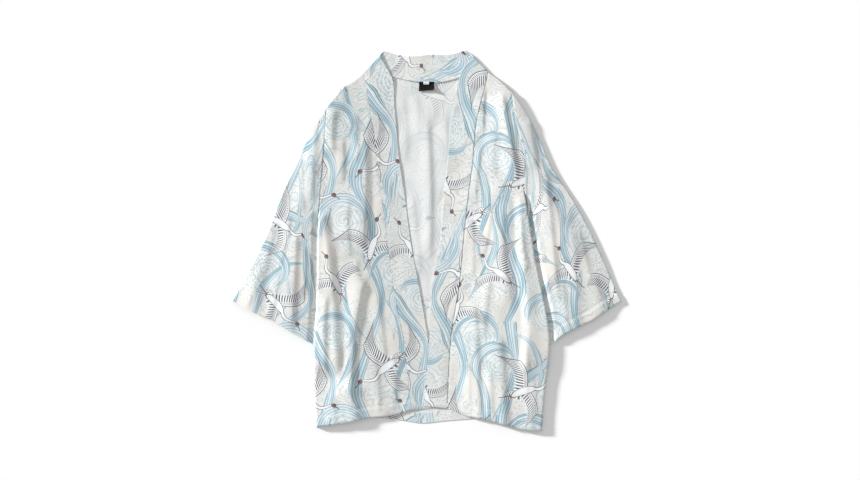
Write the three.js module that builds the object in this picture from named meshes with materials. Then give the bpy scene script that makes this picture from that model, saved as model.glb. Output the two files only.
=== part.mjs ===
import * as THREE from 'three';

// A kimono jacket laid flat on its back, in millimetres. The collar is towards +Y and the floor is z = 0.
// Left and right are the wearer's, so the left front and left sleeve are at +X.

const CLOTH = 1.6; // thickness of one layer
const BAND_CLOTH = 2.6; // thickness of the doubled collar band
const SEAM_GAP = 0.3; // between two pieces that are sewn together
const HOLLOW = 3.6; // air between the lower and the upper layer
const TUCKED_HOLLOW = 0.6; // the same where the body's side presses on a sleeve
const TUCK_START = 25; // below the armpit, where the sleeve starts to pass under the body
const RAMP = 20; // width over which the body comes down off a tucked sleeve
const TUCK_MARGIN = 10; // how far past a tucked sleeve the body stays up
const PRESS = { start: 28, end: 9 }; // outside the body's side, where a sleeve starts and ends being pressed flat
const TUCK_END = { start: 16, end: 52 }; // past the cuff, where the body starts and ends coming down

const LOWER = CLOTH / 2; // height of the middle of the lower layer
const UPPER = CLOTH + HOLLOW + CLOTH / 2; // height of the middle of the upper layer
const LIFT = CLOTH + TUCKED_HOLLOW + CLOTH + SEAM_GAP; // the body's rise onto a tucked sleeve
const EDGE_ROUND = (UPPER - LOWER) / 2; // how far in the upper layer bends at a fold or seam
const ARMPIT_STEP = CLOTH / 2 + EDGE_ROUND; // last row of the armhole, above the armpit

const ARMHOLE_ROWS = 8;
const SIDE_ROWS = 14;
const FRONT_COLUMNS = 13;
const NECK_COLUMNS = 12;
const SHOULDER_COLUMNS = 5;
const SLEEVE_COLUMNS = 2 * ARMHOLE_ROWS;
const SLEEVE_ROWS = 12;
const BAND_COLUMNS = 4;
const ROUND_ANGLES = [0, Math.PI / 4, Math.PI / 2]; // the bend at a rounded edge, from its rim inwards

// Each side of the body and its sleeve. inward is the X direction from the side seam to the middle.
const RIGHT = {
  inward: 1,
  shoulder: [
    { x: -128, y: 336 },
    { x: -146, y: 322 },
    { x: -164, y: 310 },
    { x: -178, y: 297 },
    { x: -200, y: 268 },
  ],
  armhole: [
    { x: -200, y: 268 },
    { x: -207, y: 180 },
    { x: -216, y: 66 },
  ],
  side: [
    { x: -216, y: 66 },
    { x: -219, y: -38 },
    { x: -220, y: -118 },
    { x: -226, y: -208 },
    { x: -225, y: -294 },
    { x: -223, y: -372 },
  ],
  frontHem: [
    { x: -30, y: -338 },
    { x: -56, y: -346 },
    { x: -84, y: -351 },
    { x: -116, y: -354 },
    { x: -156, y: -362 },
    { x: -192, y: -368 },
    { x: -223, y: -372 },
  ],
  sleeveTop: [
    { x: -200, y: 268 },
    { x: -218, y: 242 },
    { x: -242, y: 198 },
    { x: -260, y: 155 },
    { x: -286, y: 102 },
    { x: -310, y: 38 },
    { x: -333, y: -14 },
    { x: -358, y: -65 },
    { x: -389, y: -119 },
  ],
  cuff: [
    { x: -389, y: -119 },
    { x: -358, y: -138 },
    { x: -324, y: -152 },
    { x: -296, y: -167 },
    { x: -254, y: -193 },
    { x: -194, y: -222 },
  ],
  tuck: [
    { below: 0, under: -0.6 },
    { below: 25, under: -1.2 },
    { below: 90, under: 8 },
    { below: 180, under: 20 },
    { below: 288, under: 32 },
  ],
  band: [
    { seamX: -128, seamY: 336, freeX: -95, freeY: 370, freeZ: 8.5 },
    { seamX: -123, seamY: 318, freeX: -80, freeY: 345, freeZ: 7.0 },
    { seamX: -119, seamY: 298, freeX: -68, freeY: 321, freeZ: 5.4 },
    { seamX: -114, seamY: 260, freeX: -65, freeY: 270, freeZ: 4.0 },
    { seamX: -106, seamY: 220, freeX: -61, freeY: 224, freeZ: 3.8 },
    { seamX: -100, seamY: 165, freeX: -56, freeY: 166, freeZ: 3.8 },
    { seamX: -90, seamY: 80, freeX: -43, freeY: 80, freeZ: 3.6 },
    { seamX: -79, seamY: 0, freeX: -33, freeY: -1, freeZ: 3.8 },
    { seamX: -65, seamY: -100, freeX: -14, freeY: -102, freeZ: 4.0 },
    { seamX: -45, seamY: -205, freeX: 3, freeY: -207, freeZ: 3.6 },
    { seamX: -38, seamY: -275, freeX: 9, freeY: -277, freeZ: 3.6 },
    { seamX: -30, seamY: -338, freeX: 16, freeY: -334, freeZ: 3.6 },
  ],
  collarCorner: { x: -86, y: 380 },
};

const LEFT = {
  inward: -1,
  shoulder: [
    { x: 122, y: 338 },
    { x: 135, y: 329 },
    { x: 153, y: 315 },
    { x: 169, y: 298 },
  ],
  armhole: [
    { x: 169, y: 298 },
    { x: 178, y: 238 },
    { x: 188, y: 202 },
    { x: 196, y: 160 },
    { x: 195, y: 100 },
  ],
  side: [
    { x: 195, y: 100 },
    { x: 203, y: 50 },
    { x: 218, y: -42 },
    { x: 236, y: -128 },
    { x: 245, y: -190 },
    { x: 243, y: -250 },
    { x: 237, y: -300 },
    { x: 230, y: -380 },
  ],
  frontHem: [
    { x: 40, y: -334 },
    { x: 58, y: -342 },
    { x: 85, y: -351 },
    { x: 120, y: -357 },
    { x: 154, y: -367 },
    { x: 190, y: -376 },
    { x: 230, y: -380 },
  ],
  sleeveTop: [
    { x: 169, y: 298 },
    { x: 188, y: 273 },
    { x: 206, y: 242 },
    { x: 228, y: 197 },
    { x: 248, y: 149 },
    { x: 283, y: 96 },
    { x: 314, y: 44 },
    { x: 341, y: -12 },
    { x: 368, y: -74 },
    { x: 389, y: -121 },
  ],
  cuff: [
    { x: 389, y: -121 },
    { x: 354, y: -143 },
    { x: 329, y: -160 },
    { x: 303, y: -172 },
    { x: 270, y: -190 },
    { x: 252, y: -203 },
    { x: 212, y: -222 },
  ],
  tuck: [
    { below: 0, under: -0.6 },
    { below: 25, under: -1.2 },
    { below: 110, under: 8 },
    { below: 210, under: 20 },
    { below: 322, under: 32 },
  ],
  band: [
    { seamX: 122, seamY: 338, freeX: 95, freeY: 367, freeZ: 8.5 },
    { seamX: 118, seamY: 320, freeX: 77, freeY: 351, freeZ: 7.0 },
    { seamX: 114, seamY: 302, freeX: 65, freeY: 327, freeZ: 5.4 },
    { seamX: 106, seamY: 272, freeX: 58, freeY: 284, freeZ: 4.2 },
    { seamX: 97, seamY: 228, freeX: 48, freeY: 232, freeZ: 3.8 },
    { seamX: 92, seamY: 165, freeX: 43, freeY: 166, freeZ: 3.8 },
    { seamX: 83, seamY: 95, freeX: 35, freeY: 95, freeZ: 3.6 },
    { seamX: 73, seamY: 5, freeX: 28, freeY: 2, freeZ: 3.6 },
    { seamX: 64, seamY: -90, freeX: 11, freeY: -92, freeZ: 5.0 },
    { seamX: 49, seamY: -180, freeX: 6, freeY: -181, freeZ: 7.4 },
    { seamX: 43, seamY: -260, freeX: 0, freeY: -261, freeZ: 8.2 },
    { seamX: 40, seamY: -334, freeX: -6, freeY: -330, freeZ: 8.2 },
  ],
  collarCorner: { x: 80, y: 382 },
};

const BACK_NECK = [
  { x: -128, y: 336 },
  { x: -98, y: 333 },
  { x: -66, y: 327 },
  { x: -36, y: 320 },
  { x: -6, y: 316 },
  { x: 20, y: 316 },
  { x: 44, y: 320 },
  { x: 64, y: 326 },
  { x: 94, y: 334 },
  { x: 122, y: 338 },
];
const COLLAR_TOP = [
  { x: -86, y: 380 },
  { x: -54, y: 371 },
  { x: -26, y: 369 },
  { x: 6, y: 372 },
  { x: 44, y: 372 },
  { x: 62, y: 376 },
  { x: 80, y: 382 },
];
const BACK_HEM = [
  { x: -223, y: -372 },
  { x: -190, y: -364 },
  { x: -150, y: -357 },
  { x: -100, y: -354 },
  { x: -54, y: -358 },
  { x: -11, y: -364 },
  { x: 30, y: -360 },
  { x: 80, y: -356 },
  { x: 120, y: -354 },
  { x: 155, y: -362 },
  { x: 190, y: -372 },
  { x: 230, y: -380 },
];

// Folds of the upper layer: crest from one end, by way of its middle, to the other end
const FOLDS = [
  { place: 'right front, upper', x1: -126, y1: 222, x2: -124, y2: 102, x3: -130, y3: -30, rise: 4.0, width: 16 },
  { place: 'right front, lower', x1: -121, y1: -60, x2: -146, y2: -188, x3: -152, y3: -345, rise: 5.0, width: 15 },
  { place: 'right front, hem', x1: -152, y1: -270, x2: -148, y2: -345, x3: -146, y3: -430, rise: 4.5, width: 30 },
  { place: 'right shoulder', x1: -182, y1: 270, x2: -191, y2: 225, x3: -188, y3: 165, rise: 3.0, width: 13 },
  { place: 'left armhole', x1: 146, y1: 300, x2: 162, y2: 222, x3: 182, y3: 100, rise: 4.0, width: 13 },
  { place: 'left front, middle', x1: 146, y1: 82, x2: 152, y2: -38, x3: 170, y3: -138, rise: 3.0, width: 16 },
  { place: 'left front, hem', x1: 140, y1: -178, x2: 150, y2: -278, x3: 156, y3: -420, rise: 3.5, width: 18 },
  { place: 'left front, by the band', x1: 92, y1: -118, x2: 98, y2: -218, x3: 104, y3: -400, rise: 2.5, width: 14 },
  { place: 'left sleeve, inner', x1: 232, y1: 160, x2: 247, y2: 20, x3: 262, y3: -150, rise: 5.0, width: 15 },
  { place: 'left sleeve, outer', x1: 272, y1: 92, x2: 291, y2: -38, x3: 300, y3: -210, rise: 4.0, width: 18 },
  { place: 'right sleeve, upper', x1: -222, y1: 232, x2: -230, y2: 152, x3: -236, y3: 62, rise: 3.0, width: 14 },
  { place: 'right sleeve, inner', x1: -262, y1: 22, x2: -266, y2: -68, x3: -274, y3: -200, rise: 4.0, width: 16 },
  { place: 'right sleeve, outer', x1: -298, y1: 50, x2: -322, y2: -30, x3: -352, y3: -170, rise: 3.0, width: 18 },
];
const BACK_FOLDS = [
  { place: 'middle of the back', x1: -2, y1: 262, x2: 6, y2: 110, x3: 3, y3: -60, rise: 2.5, width: 11 },
];
const FOLD_TAPER = 0.2; // share of a fold's length over which each of its ends fades

// Both are caught in the back neck seam. top is the upper edge, at or just past that seam.
const LABEL = { x: 0, top: 315, width: 30, height: 18, thick: 0.8 };
const TAB = { x: -1, top: 318, width: 10, height: 6, thick: 0.6 };

const UNDERARM_FAN = 0.65;

const UP = new THREE.Vector3(0, 0, 1);

function smoothstep(from, to, value) {
  return THREE.MathUtils.smoothstep(value, from, to);
}

function plan(row) {
  return new THREE.Vector3(row.x, row.y, 0);
}

function curveThrough(rows) {
  return new THREE.CatmullRomCurve3(rows.map(plan), false, 'centripetal');
}

// The value of one column of a table where another column has a given value
function lookUp(rows, key, column, value) {
  const last = rows.findIndex((row) => row[key] >= value);
  if (last <= 0) return rows[last === 0 ? 0 : rows.length - 1][column];
  const before = rows[last - 1];
  const after = rows[last];
  const share = (value - before[key]) / (after[key] - before[key]);
  return THREE.MathUtils.lerp(before[column], after[column], share);
}

// Horizontal direction across the line from a to b
function across(a, b) {
  return new THREE.Vector3(b.x - a.x, b.y - a.y, 0).normalize().cross(UP);
}

function foldCrest(fold) {
  const start = new THREE.Vector2(fold.x1, fold.y1);
  const middle = new THREE.Vector2(fold.x2, fold.y2);
  const end = new THREE.Vector2(fold.x3, fold.y3);
  const control = middle.clone().multiplyScalar(2).sub(start.clone().add(end).multiplyScalar(0.5));
  const points = new THREE.QuadraticBezierCurve(start, control, end).getPoints(24);
  return { points, rise: fold.rise, width: fold.width };
}

function crestHeight(crest, x, y) {
  const here = new THREE.Vector2(x, y);
  const nearest = crest.points.reduce((best, point, index) => {
    const distance = point.distanceTo(here);
    return distance < best.distance ? { distance, index } : best;
  }, { distance: Infinity, index: 0 });
  const along = nearest.index / (crest.points.length - 1);
  const fade = smoothstep(0, FOLD_TAPER, along) * smoothstep(0, FOLD_TAPER, 1 - along);
  return crest.rise * fade * Math.exp(-((nearest.distance / crest.width) ** 2));
}

const upperCrests = FOLDS.map(foldCrest);
const backCrests = BACK_FOLDS.map(foldCrest);

function foldHeight(crests, x, y) {
  return crests.reduce((sum, crest) => sum + crestHeight(crest, x, y), 0);
}

// Where a point stands to the body's side seam: inside it is positive, and below counts from the armpit
function sidePosition(side, x, y) {
  const armpit = side.side[0];
  const rows = curveThrough(side.side).getPoints(60).map((p) => ({ x: p.x, down: -p.y }));
  const seamX = lookUp(rows, 'down', 'x', -y);
  return { inside: (x - seamX) * side.inward, below: armpit.y - y };
}

// 1 where the body's side lies on its sleeve, and 0 above the armpit and past the cuff
function onSleeve(side, below) {
  const cuffEnd = side.tuck[side.tuck.length - 1].below;
  const past = below - cuffEnd;
  return smoothstep(2, TUCK_START - 1, below) * (1 - smoothstep(TUCK_END.start, TUCK_END.end, past));
}

// The rise of the back and the fronts where they pass over a sleeve
function bodyLift(x, y) {
  const side = x < 0 ? RIGHT : LEFT;
  const { inside, below } = sidePosition(side, x, y);
  const strip = lookUp(side.tuck, 'below', 'under', below) + TUCK_MARGIN;
  return LIFT * onSleeve(side, below) * (1 - smoothstep(strip, strip + RAMP, inside));
}

function backHeight(x, y) {
  return LOWER + bodyLift(x, y) + foldHeight(backCrests, x, y);
}

function frontHeight(x, y) {
  return UPPER + bodyLift(x, y) + foldHeight(upperCrests, x, y);
}

function sleeveHeight(side, x, y) {
  const { inside, below } = sidePosition(side, x, y);
  const pressed = onSleeve(side, below) * smoothstep(-PRESS.start, -PRESS.end, inside);
  const free = UPPER + foldHeight(upperCrests, x, y);
  const flat = CLOTH + TUCKED_HOLLOW + CLOTH / 2;
  return THREE.MathUtils.lerp(free, flat, pressed);
}

// The body's rows on one side, from the shoulder to the hem, shared by the front and the back
function bodyRows(side) {
  const armhole = curveThrough(side.armhole);
  const seam = curveThrough(side.side);
  const armholeLength = armhole.getLength();
  const seamLength = seam.getLength();
  const bend = ROUND_ANGLES.map((angle) => CLOTH / 2 + EDGE_ROUND * (1 - Math.cos(angle)));
  const armholeStart = bend[bend.length - 1];
  const armholeEnd = armholeLength - ARMPIT_STEP;
  const rows = bend.map((distance, i) => ({ distance, round: Math.sin(ROUND_ANGLES[i]), sewn: 'armhole' }));
  for (let i = 1; i <= ARMHOLE_ROWS; i += 1) {
    const distance = THREE.MathUtils.lerp(armholeStart, armholeEnd, i / ARMHOLE_ROWS);
    rows.push({ distance, round: 1, sewn: 'armhole' });
  }
  for (const below of [0, TUCK_START / 2, TUCK_START]) {
    rows.push({ distance: armholeLength + below, round: 1, sewn: 'side' });
  }
  for (let i = 1; i <= SIDE_ROWS; i += 1) {
    const below = THREE.MathUtils.lerp(TUCK_START, seamLength, i / SIDE_ROWS);
    rows.push({ distance: armholeLength + below, round: 1, sewn: 'side' });
  }
  const whole = armholeLength + seamLength;
  return rows.map((row) => {
    const past = (row.distance - armholeLength) / seamLength;
    const point = past < 0
      ? armhole.getPointAt(row.distance / armholeLength)
      : seam.getPointAt(Math.min(past, 1));
    return { ...row, point, share: row.distance / whole };
  });
}

// A patch between four edges: start and end at either side of a row, top and bottom over the whole piece
function patchPoint(start, end, top, bottom, corners, u, v) {
  const point = start.clone().lerp(end, u).add(top.clone().lerp(bottom, v));
  const upper = corners.topStart.clone().lerp(corners.topEnd, u);
  const lower = corners.bottomStart.clone().lerp(corners.bottomEnd, u);
  return point.sub(upper.lerp(lower, v));
}

// A wall of even thickness on both sides of a grid of points. A rim is upright over its seam line,
// faces down at a bent edge, or is cut square where it is not given.
function clothWall(grid, thickness, { ring = false, rimNormal = () => null } = {}) {
  const rows = grid.length;
  const columns = grid[0].length;
  const at = (j, i) => grid[j][ring ? (i + columns) % columns : i];
  const outer = [];
  const inner = [];
  for (let j = 0; j < rows; j += 1) {
    for (let i = 0; i < columns; i += 1) {
      const left = ring ? at(j, i - 1) : at(j, Math.max(i - 1, 0));
      const right = ring ? at(j, i + 1) : at(j, Math.min(i + 1, columns - 1));
      const above = at(Math.max(j - 1, 0), i);
      const below = at(Math.min(j + 1, rows - 1), i);
      const normal = right.clone().sub(left).cross(below.clone().sub(above)).normalize();
      const given = rimNormal(j, i, normal);
      const step = (given || normal).clone().multiplyScalar(thickness / 2);
      outer.push(at(j, i).clone().add(step));
      inner.push(at(j, i).clone().sub(step));
    }
  }
  const index = [];
  const shift = outer.length;
  const quad = (a, b, c, d) => index.push(c, a, b, d, a, c);
  const spans = ring ? columns : columns - 1;
  for (let j = 0; j < rows - 1; j += 1) {
    for (let i = 0; i < spans; i += 1) {
      const next = (i + 1) % columns;
      const [a, b, c, d] = [j * columns + i, j * columns + next, (j + 1) * columns + next, (j + 1) * columns + i];
      quad(a, b, c, d);
      quad(shift + a, shift + d, shift + c, shift + b);
    }
  }
  for (let i = 0; i < spans; i += 1) {
    const next = (i + 1) % columns;
    const last = (rows - 1) * columns;
    quad(next, i, shift + i, shift + next);
    quad(last + i, last + next, shift + last + next, shift + last + i);
  }
  for (let j = 0; j < rows - 1 && !ring; j += 1) {
    const first = j * columns;
    const end = first + columns - 1;
    quad(first, first + columns, shift + first + columns, shift + first);
    quad(end + columns, end, shift + end, shift + end + columns);
  }
  return closedGeometry([...outer, ...inner], index);
}

// Turns the faces outwards if the enclosed volume comes out negative
function closedGeometry(points, index) {
  let volume = 0;
  for (let i = 0; i < index.length; i += 3) {
    const [a, b, c] = [points[index[i]], points[index[i + 1]], points[index[i + 2]]];
    volume += a.dot(b.clone().cross(c));
  }
  for (let i = 0; volume < 0 && i < index.length; i += 3) {
    [index[i + 1], index[i + 2]] = [index[i + 2], index[i + 1]];
  }
  const geometry = new THREE.BufferGeometry().setFromPoints(points);
  geometry.setIndex(index);
  geometry.computeVertexNormals();
  return geometry;
}

function upright(normal, direction) {
  return normal.clone().addScaledVector(direction, -normal.dot(direction)).normalize();
}

// Distances from the band seam and the outer edge turn into shares of a row's width
function frontShares(row, width) {
  const inset = row.sewn === 'side' ? CLOTH / 2 : 0;
  const bends = ROUND_ANGLES.map((angle) => ({
    share: 1 - (inset + EDGE_ROUND * (1 - Math.cos(angle))) / width,
    round: row.sewn === 'side' ? Math.sin(angle) : 1,
  })).reverse();
  const shares = [];
  for (let i = 0; i < FRONT_COLUMNS; i += 1) {
    shares.push({ share: (bends[0].share * i) / FRONT_COLUMNS, round: 1 });
  }
  return [...shares, ...bends];
}

function frontGrid(side) {
  const rows = bodyRows(side);
  const bandSeam = curveThrough(side.band.map(({ seamX, seamY }) => ({ x: seamX, y: seamY })));
  const shoulder = curveThrough(side.shoulder);
  const hem = curveThrough(side.frontHem);
  const corners = {
    topStart: plan(side.shoulder[0]),
    topEnd: plan(side.shoulder[side.shoulder.length - 1]),
    bottomStart: plan(side.frontHem[0]),
    bottomEnd: plan(side.frontHem[side.frontHem.length - 1]),
  };
  return rows.map((row) => {
    const start = bandSeam.getPointAt(Math.min(row.share, 1));
    const shares = frontShares(row, start.distanceTo(row.point));
    return shares.map(({ share, round }) => {
      const top = shoulder.getPointAt(share);
      const bottom = hem.getPointAt(share);
      const point = patchPoint(start, row.point, top, bottom, corners, share, row.share);
      const rim = backHeight(point.x, point.y) + CLOTH / 2 + SEAM_GAP;
      const height = frontHeight(point.x, point.y);
      point.z = THREE.MathUtils.lerp(rim, height, round * row.round);
      return point;
    });
  });
}

function front(side) {
  const rows = bodyRows(side);
  const grid = frontGrid(side);
  const lastRow = grid.length - 1;
  const lastColumn = grid[0].length - 1;
  const rimNormal = (j, i, normal) => {
    const along = (a, b) => across(a, b).multiplyScalar(side.inward);
    if (i === lastColumn && rows[j].sewn === 'side') {
      return along(grid[Math.max(j - 1, 0)][i], grid[Math.min(j + 1, lastRow)][i]);
    }
    if (j === 0) {
      const direction = across(grid[0][Math.max(i - 1, 0)], grid[0][Math.min(i + 1, lastColumn)]);
      direction.multiplyScalar(Math.sign(direction.y));
      return i < lastColumn ? direction : upright(direction, along(grid[0][i], grid[1][i]));
    }
    if (i === 0 || i === lastColumn) {
      return upright(normal, along(grid[j - 1][i], grid[Math.min(j + 1, lastRow)][i]));
    }
    return null;
  };
  return clothWall(grid, CLOTH, { rimNormal });
}

function backTopShares() {
  const shares = [];
  for (let i = 0; i < SHOULDER_COLUMNS; i += 1) shares.push({ part: 'right', share: 1 - i / SHOULDER_COLUMNS });
  for (let i = 0; i < NECK_COLUMNS; i += 1) shares.push({ part: 'neck', share: i / NECK_COLUMNS });
  for (let i = 0; i <= SHOULDER_COLUMNS; i += 1) shares.push({ part: 'left', share: i / SHOULDER_COLUMNS });
  return shares;
}

function backGrid() {
  const rightRows = bodyRows(RIGHT);
  const leftRows = bodyRows(LEFT);
  const tops = { right: curveThrough(RIGHT.shoulder), neck: curveThrough(BACK_NECK), left: curveThrough(LEFT.shoulder) };
  const top = backTopShares().map(({ part, share }) => tops[part].getPointAt(share));
  const width = top[top.length - 1].x - top[0].x;
  const hem = curveThrough(BACK_HEM);
  const corners = {
    topStart: top[0],
    topEnd: top[top.length - 1],
    bottomStart: plan(BACK_HEM[0]),
    bottomEnd: plan(BACK_HEM[BACK_HEM.length - 1]),
  };
  return rightRows.map((row, j) => {
    const share = j === 0 ? 0 : (row.share + leftRows[j].share) / 2;
    const start = j === 0 ? top[0] : row.point;
    const end = j === 0 ? top[top.length - 1] : leftRows[j].point;
    return top.map((topPoint) => {
      const u = (topPoint.x - top[0].x) / width;
      const point = patchPoint(start, end, topPoint, hem.getPointAt(u), corners, u, share);
      point.z = backHeight(point.x, point.y);
      return point;
    });
  });
}

function back() {
  const grid = backGrid();
  const lastRow = grid.length - 1;
  const lastColumn = grid[0].length - 1;
  const rimNormal = (j, i) => {
    return j === 0 || i === 0 || i === lastColumn || j === lastRow ? UP : null;
  };
  return clothWall(grid, CLOTH, { rimNormal });
}

// One ring round a flattened sleeve: the upper layer from its fold to the underarm, then the lower one back
function sleeveGrid(side) {
  const armhole = bodyRows(side).filter((row) => row.sewn === 'armhole').map((row) => row.point);
  armhole[0] = plan(side.armhole[0]);
  armhole.push(plan(side.side[0]));
  const lengths = armhole.map((point, i) => (i === 0 ? 0 : point.distanceTo(armhole[i - 1])));
  const whole = lengths.reduce((sum, length) => sum + length, 0);
  let walked = 0;
  const armholeRows = armhole.map((point, i) => {
    walked += lengths[i];
    return { share: walked / whole, x: point.x, y: point.y };
  });
  const outward = new THREE.Vector3(-side.inward * SEAM_GAP, 0, 0);
  const armholePoint = (share) => new THREE.Vector3(
    lookUp(armholeRows, 'share', 'x', share),
    lookUp(armholeRows, 'share', 'y', share),
    0,
  ).add(outward);
  const seam = curveThrough(side.side).getPoints(60).map((p) => ({ x: p.x, down: -p.y }));
  const armpit = side.side[0];
  const underarm = curveThrough(side.tuck.map(({ below, under }) => ({
    x: lookUp(seam, 'down', 'x', below - armpit.y) + side.inward * under,
    y: armpit.y - below,
  })));
  const top = curveThrough(side.sleeveTop);
  const cuff = curveThrough(side.cuff);
  const corners = {
    topStart: armholePoint(0),
    topEnd: armholePoint(1),
    bottomStart: plan(side.cuff[0]),
    bottomEnd: plan(side.cuff[side.cuff.length - 1]),
  };
  const grid = [];
  for (let j = 0; j <= SLEEVE_ROWS; j += 1) {
    const along = j / SLEEVE_ROWS;
    const start = j === 0 ? corners.topStart : top.getPointAt(along);
    const end = j === 0 ? corners.topEnd : underarm.getPointAt(underarmShare(along));
    const width = start.distanceTo(end);
    const place = (distance) => {
      const share = distance / width;
      return patchPoint(start, end, armholePoint(share), cuff.getPointAt(share), corners, share, along);
    };
    grid.push(sleeveRing(side, width, place));
  }
  return grid;
}

// The rings fan out from the armpit, so they are closer together along the underarm
function underarmShare(along) {
  return UNDERARM_FAN * along * along + (1 - UNDERARM_FAN) * along;
}

function sleeveRing(side, width, place) {
  const heightAt = (distance) => {
    const point = place(distance);
    return sleeveHeight(side, point.x, point.y);
  };
  const radiusAt = (distance) => (heightAt(distance) - LOWER) / 2;
  const startRadius = radiusAt(UPPER);
  const endRadius = radiusAt(width - 2 * CLOTH);
  const stops = [];
  for (const angle of ROUND_ANGLES) {
    stops.push({ distance: CLOTH / 2 + startRadius * (1 - Math.cos(angle)), round: Math.sin(angle) });
  }
  const first = CLOTH / 2 + startRadius;
  const last = width - CLOTH / 2 - endRadius;
  for (let i = 1; i < SLEEVE_COLUMNS; i += 1) {
    stops.push({ distance: THREE.MathUtils.lerp(first, last, i / SLEEVE_COLUMNS), round: 1 });
  }
  for (const angle of [...ROUND_ANGLES].reverse()) {
    stops.push({ distance: width - CLOTH / 2 - endRadius * (1 - Math.cos(angle)), round: Math.sin(angle) });
  }
  const layerPoint = ({ distance, round }, direction) => {
    const point = place(distance);
    const inRange = THREE.MathUtils.clamp(distance, first, last);
    const half = radiusAt(inRange);
    point.z = LOWER + half + direction * half * round;
    return point;
  };
  const upper = stops.map((stop) => layerPoint(stop, 1));
  const lower = stops.slice(1, -1).reverse().map((stop) => layerPoint(stop, -1));
  return [...upper, ...lower];
}

function sleeve(side) {
  const grid = sleeveGrid(side);
  const direction = across(plan(side.armhole[0]), plan(side.side[0]));
  const folds = [0, SLEEVE_COLUMNS + 2 * ROUND_ANGLES.length - 2];
  const rimNormal = (j, i, normal) => {
    if (j === 0) return upright(normal, direction);
    if (!folds.includes(i)) return null;
    const edge = across(grid[j - 1][i], grid[Math.min(j + 1, SLEEVE_ROWS)][i]);
    return edge.multiplyScalar(Math.sign(edge.dot(normal)));
  };
  return clothWall(grid, CLOTH, { ring: true, rimNormal });
}

// The band's stations on a front, from the neck point down to the hem
function bandFrontStations(side) {
  const seam = curveThrough(side.band.map(({ seamX, seamY }) => ({ x: seamX, y: seamY })));
  const free = new THREE.CatmullRomCurve3(
    side.band.map(({ freeX, freeY, freeZ }) => new THREE.Vector3(freeX, freeY, freeZ)),
    false,
    'centripetal',
  );
  const rows = bodyRows(side).slice(ROUND_ANGLES.length);
  return rows.map(({ share }) => {
    const end = Math.min(share, 1);
    const seamPoint = seam.getPointAt(end);
    seamPoint.z = frontHeight(seamPoint.x, seamPoint.y);
    return { seam: seamPoint, free: free.getPoint(seam.getUtoTmapping(end)) };
  });
}

// The band turns over at the neck point, from the back below to the front above
function bandTurnStations(side) {
  const neckPoint = plan(side.shoulder[0]);
  const above = new THREE.Vector3(side.band[0].freeX, side.band[0].freeY, 0);
  const below = plan(side.collarCorner);
  const outward = across(neckPoint, above).multiplyScalar(-side.inward);
  const low = BAND_CLOTH / 2;
  const turn = (base, high, angle) => {
    const radius = (high - low) / 2;
    const inset = BAND_CLOTH / 2 + radius * (1 - Math.cos(angle));
    const point = base.clone().addScaledVector(outward, -inset);
    point.z = low + radius * (1 + Math.sin(angle));
    return point;
  };
  return [90, 45, 0, -45, -90].map((degrees) => {
    const angle = THREE.MathUtils.degToRad(degrees);
    const free = above.clone().lerp(below, (90 - degrees) / 180);
    return { seam: turn(neckPoint, UPPER, angle), free: turn(free, side.band[0].freeZ, angle) };
  });
}

function bandNeckStations() {
  const neck = curveThrough(BACK_NECK);
  const free = curveThrough(COLLAR_TOP);
  const stations = [];
  for (let i = 1; i < NECK_COLUMNS; i += 1) {
    const seamPoint = neck.getPointAt(i / NECK_COLUMNS);
    const freePoint = free.getPointAt(i / NECK_COLUMNS);
    seamPoint.z = BAND_CLOTH / 2;
    freePoint.z = BAND_CLOTH / 2;
    stations.push({ seam: seamPoint, free: freePoint });
  }
  return stations;
}

function collarBand() {
  const stations = [
    ...bandFrontStations(RIGHT).reverse(),
    ...bandTurnStations(RIGHT),
    ...bandNeckStations(),
    ...bandTurnStations(LEFT).reverse(),
    ...bandFrontStations(LEFT),
  ];
  const grid = stations.map(({ seam, free }) => {
    const toFree = new THREE.Vector3(free.x - seam.x, free.y - seam.y, 0).normalize();
    const start = seam.clone().addScaledVector(toFree, 1.2 * SEAM_GAP);
    const row = [];
    for (let i = 0; i <= BAND_COLUMNS; i += 1) {
      const share = i / BAND_COLUMNS;
      const point = start.clone().lerp(free, share);
      point.z = THREE.MathUtils.lerp(start.z, free.z, smoothstep(0, 1, share));
      row.push(point);
    }
    return row;
  });
  const rimNormal = (j, i, normal) => {
    if (i > 0) return null;
    const direction = new THREE.Vector3().subVectors(grid[j][1], grid[j][0]).setZ(0).normalize();
    return upright(normal, direction);
  };
  return clothWall(grid, BAND_CLOTH, { rimNormal });
}

// A flat strip that hangs down from its top edge, over what lies at the given height
function strip({ x, top, width, height, thick }, over) {
  const geometry = new THREE.BoxGeometry(width, height, thick);
  return geometry.translate(x, top - height / 2, over + SEAM_GAP + thick / 2);
}

function neckLabel() {
  return strip(LABEL, CLOTH);
}

function sizeTab() {
  return strip(TAB, CLOTH + SEAM_GAP + LABEL.thick);
}

function printedCloth() {
  return new THREE.MeshStandardMaterial({ color: '#edeae2', roughness: 0.62, metalness: 0 });
}

function labelCloth() {
  return new THREE.MeshStandardMaterial({ color: '#1a1a1c', roughness: 0.7, metalness: 0 });
}

function tabCloth() {
  return new THREE.MeshStandardMaterial({ color: '#f4f3ef', roughness: 0.7, metalness: 0 });
}

function piece(name, geometry, material) {
  const mesh = new THREE.Mesh(geometry, material);
  mesh.name = name;
  return mesh;
}

const jacket = new THREE.Group();
jacket.add(
  piece('back', back(), printedCloth()),
  piece('front_right', front(RIGHT), printedCloth()),
  piece('front_left', front(LEFT), printedCloth()),
  piece('sleeve_right', sleeve(RIGHT), printedCloth()),
  piece('sleeve_left', sleeve(LEFT), printedCloth()),
  piece('collar_band', collarBand(), printedCloth()),
  piece('neck_label', neckLabel(), labelCloth()),
  piece('size_tab', sizeTab(), tabCloth()),
);

export default jacket;
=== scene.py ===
import math

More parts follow.
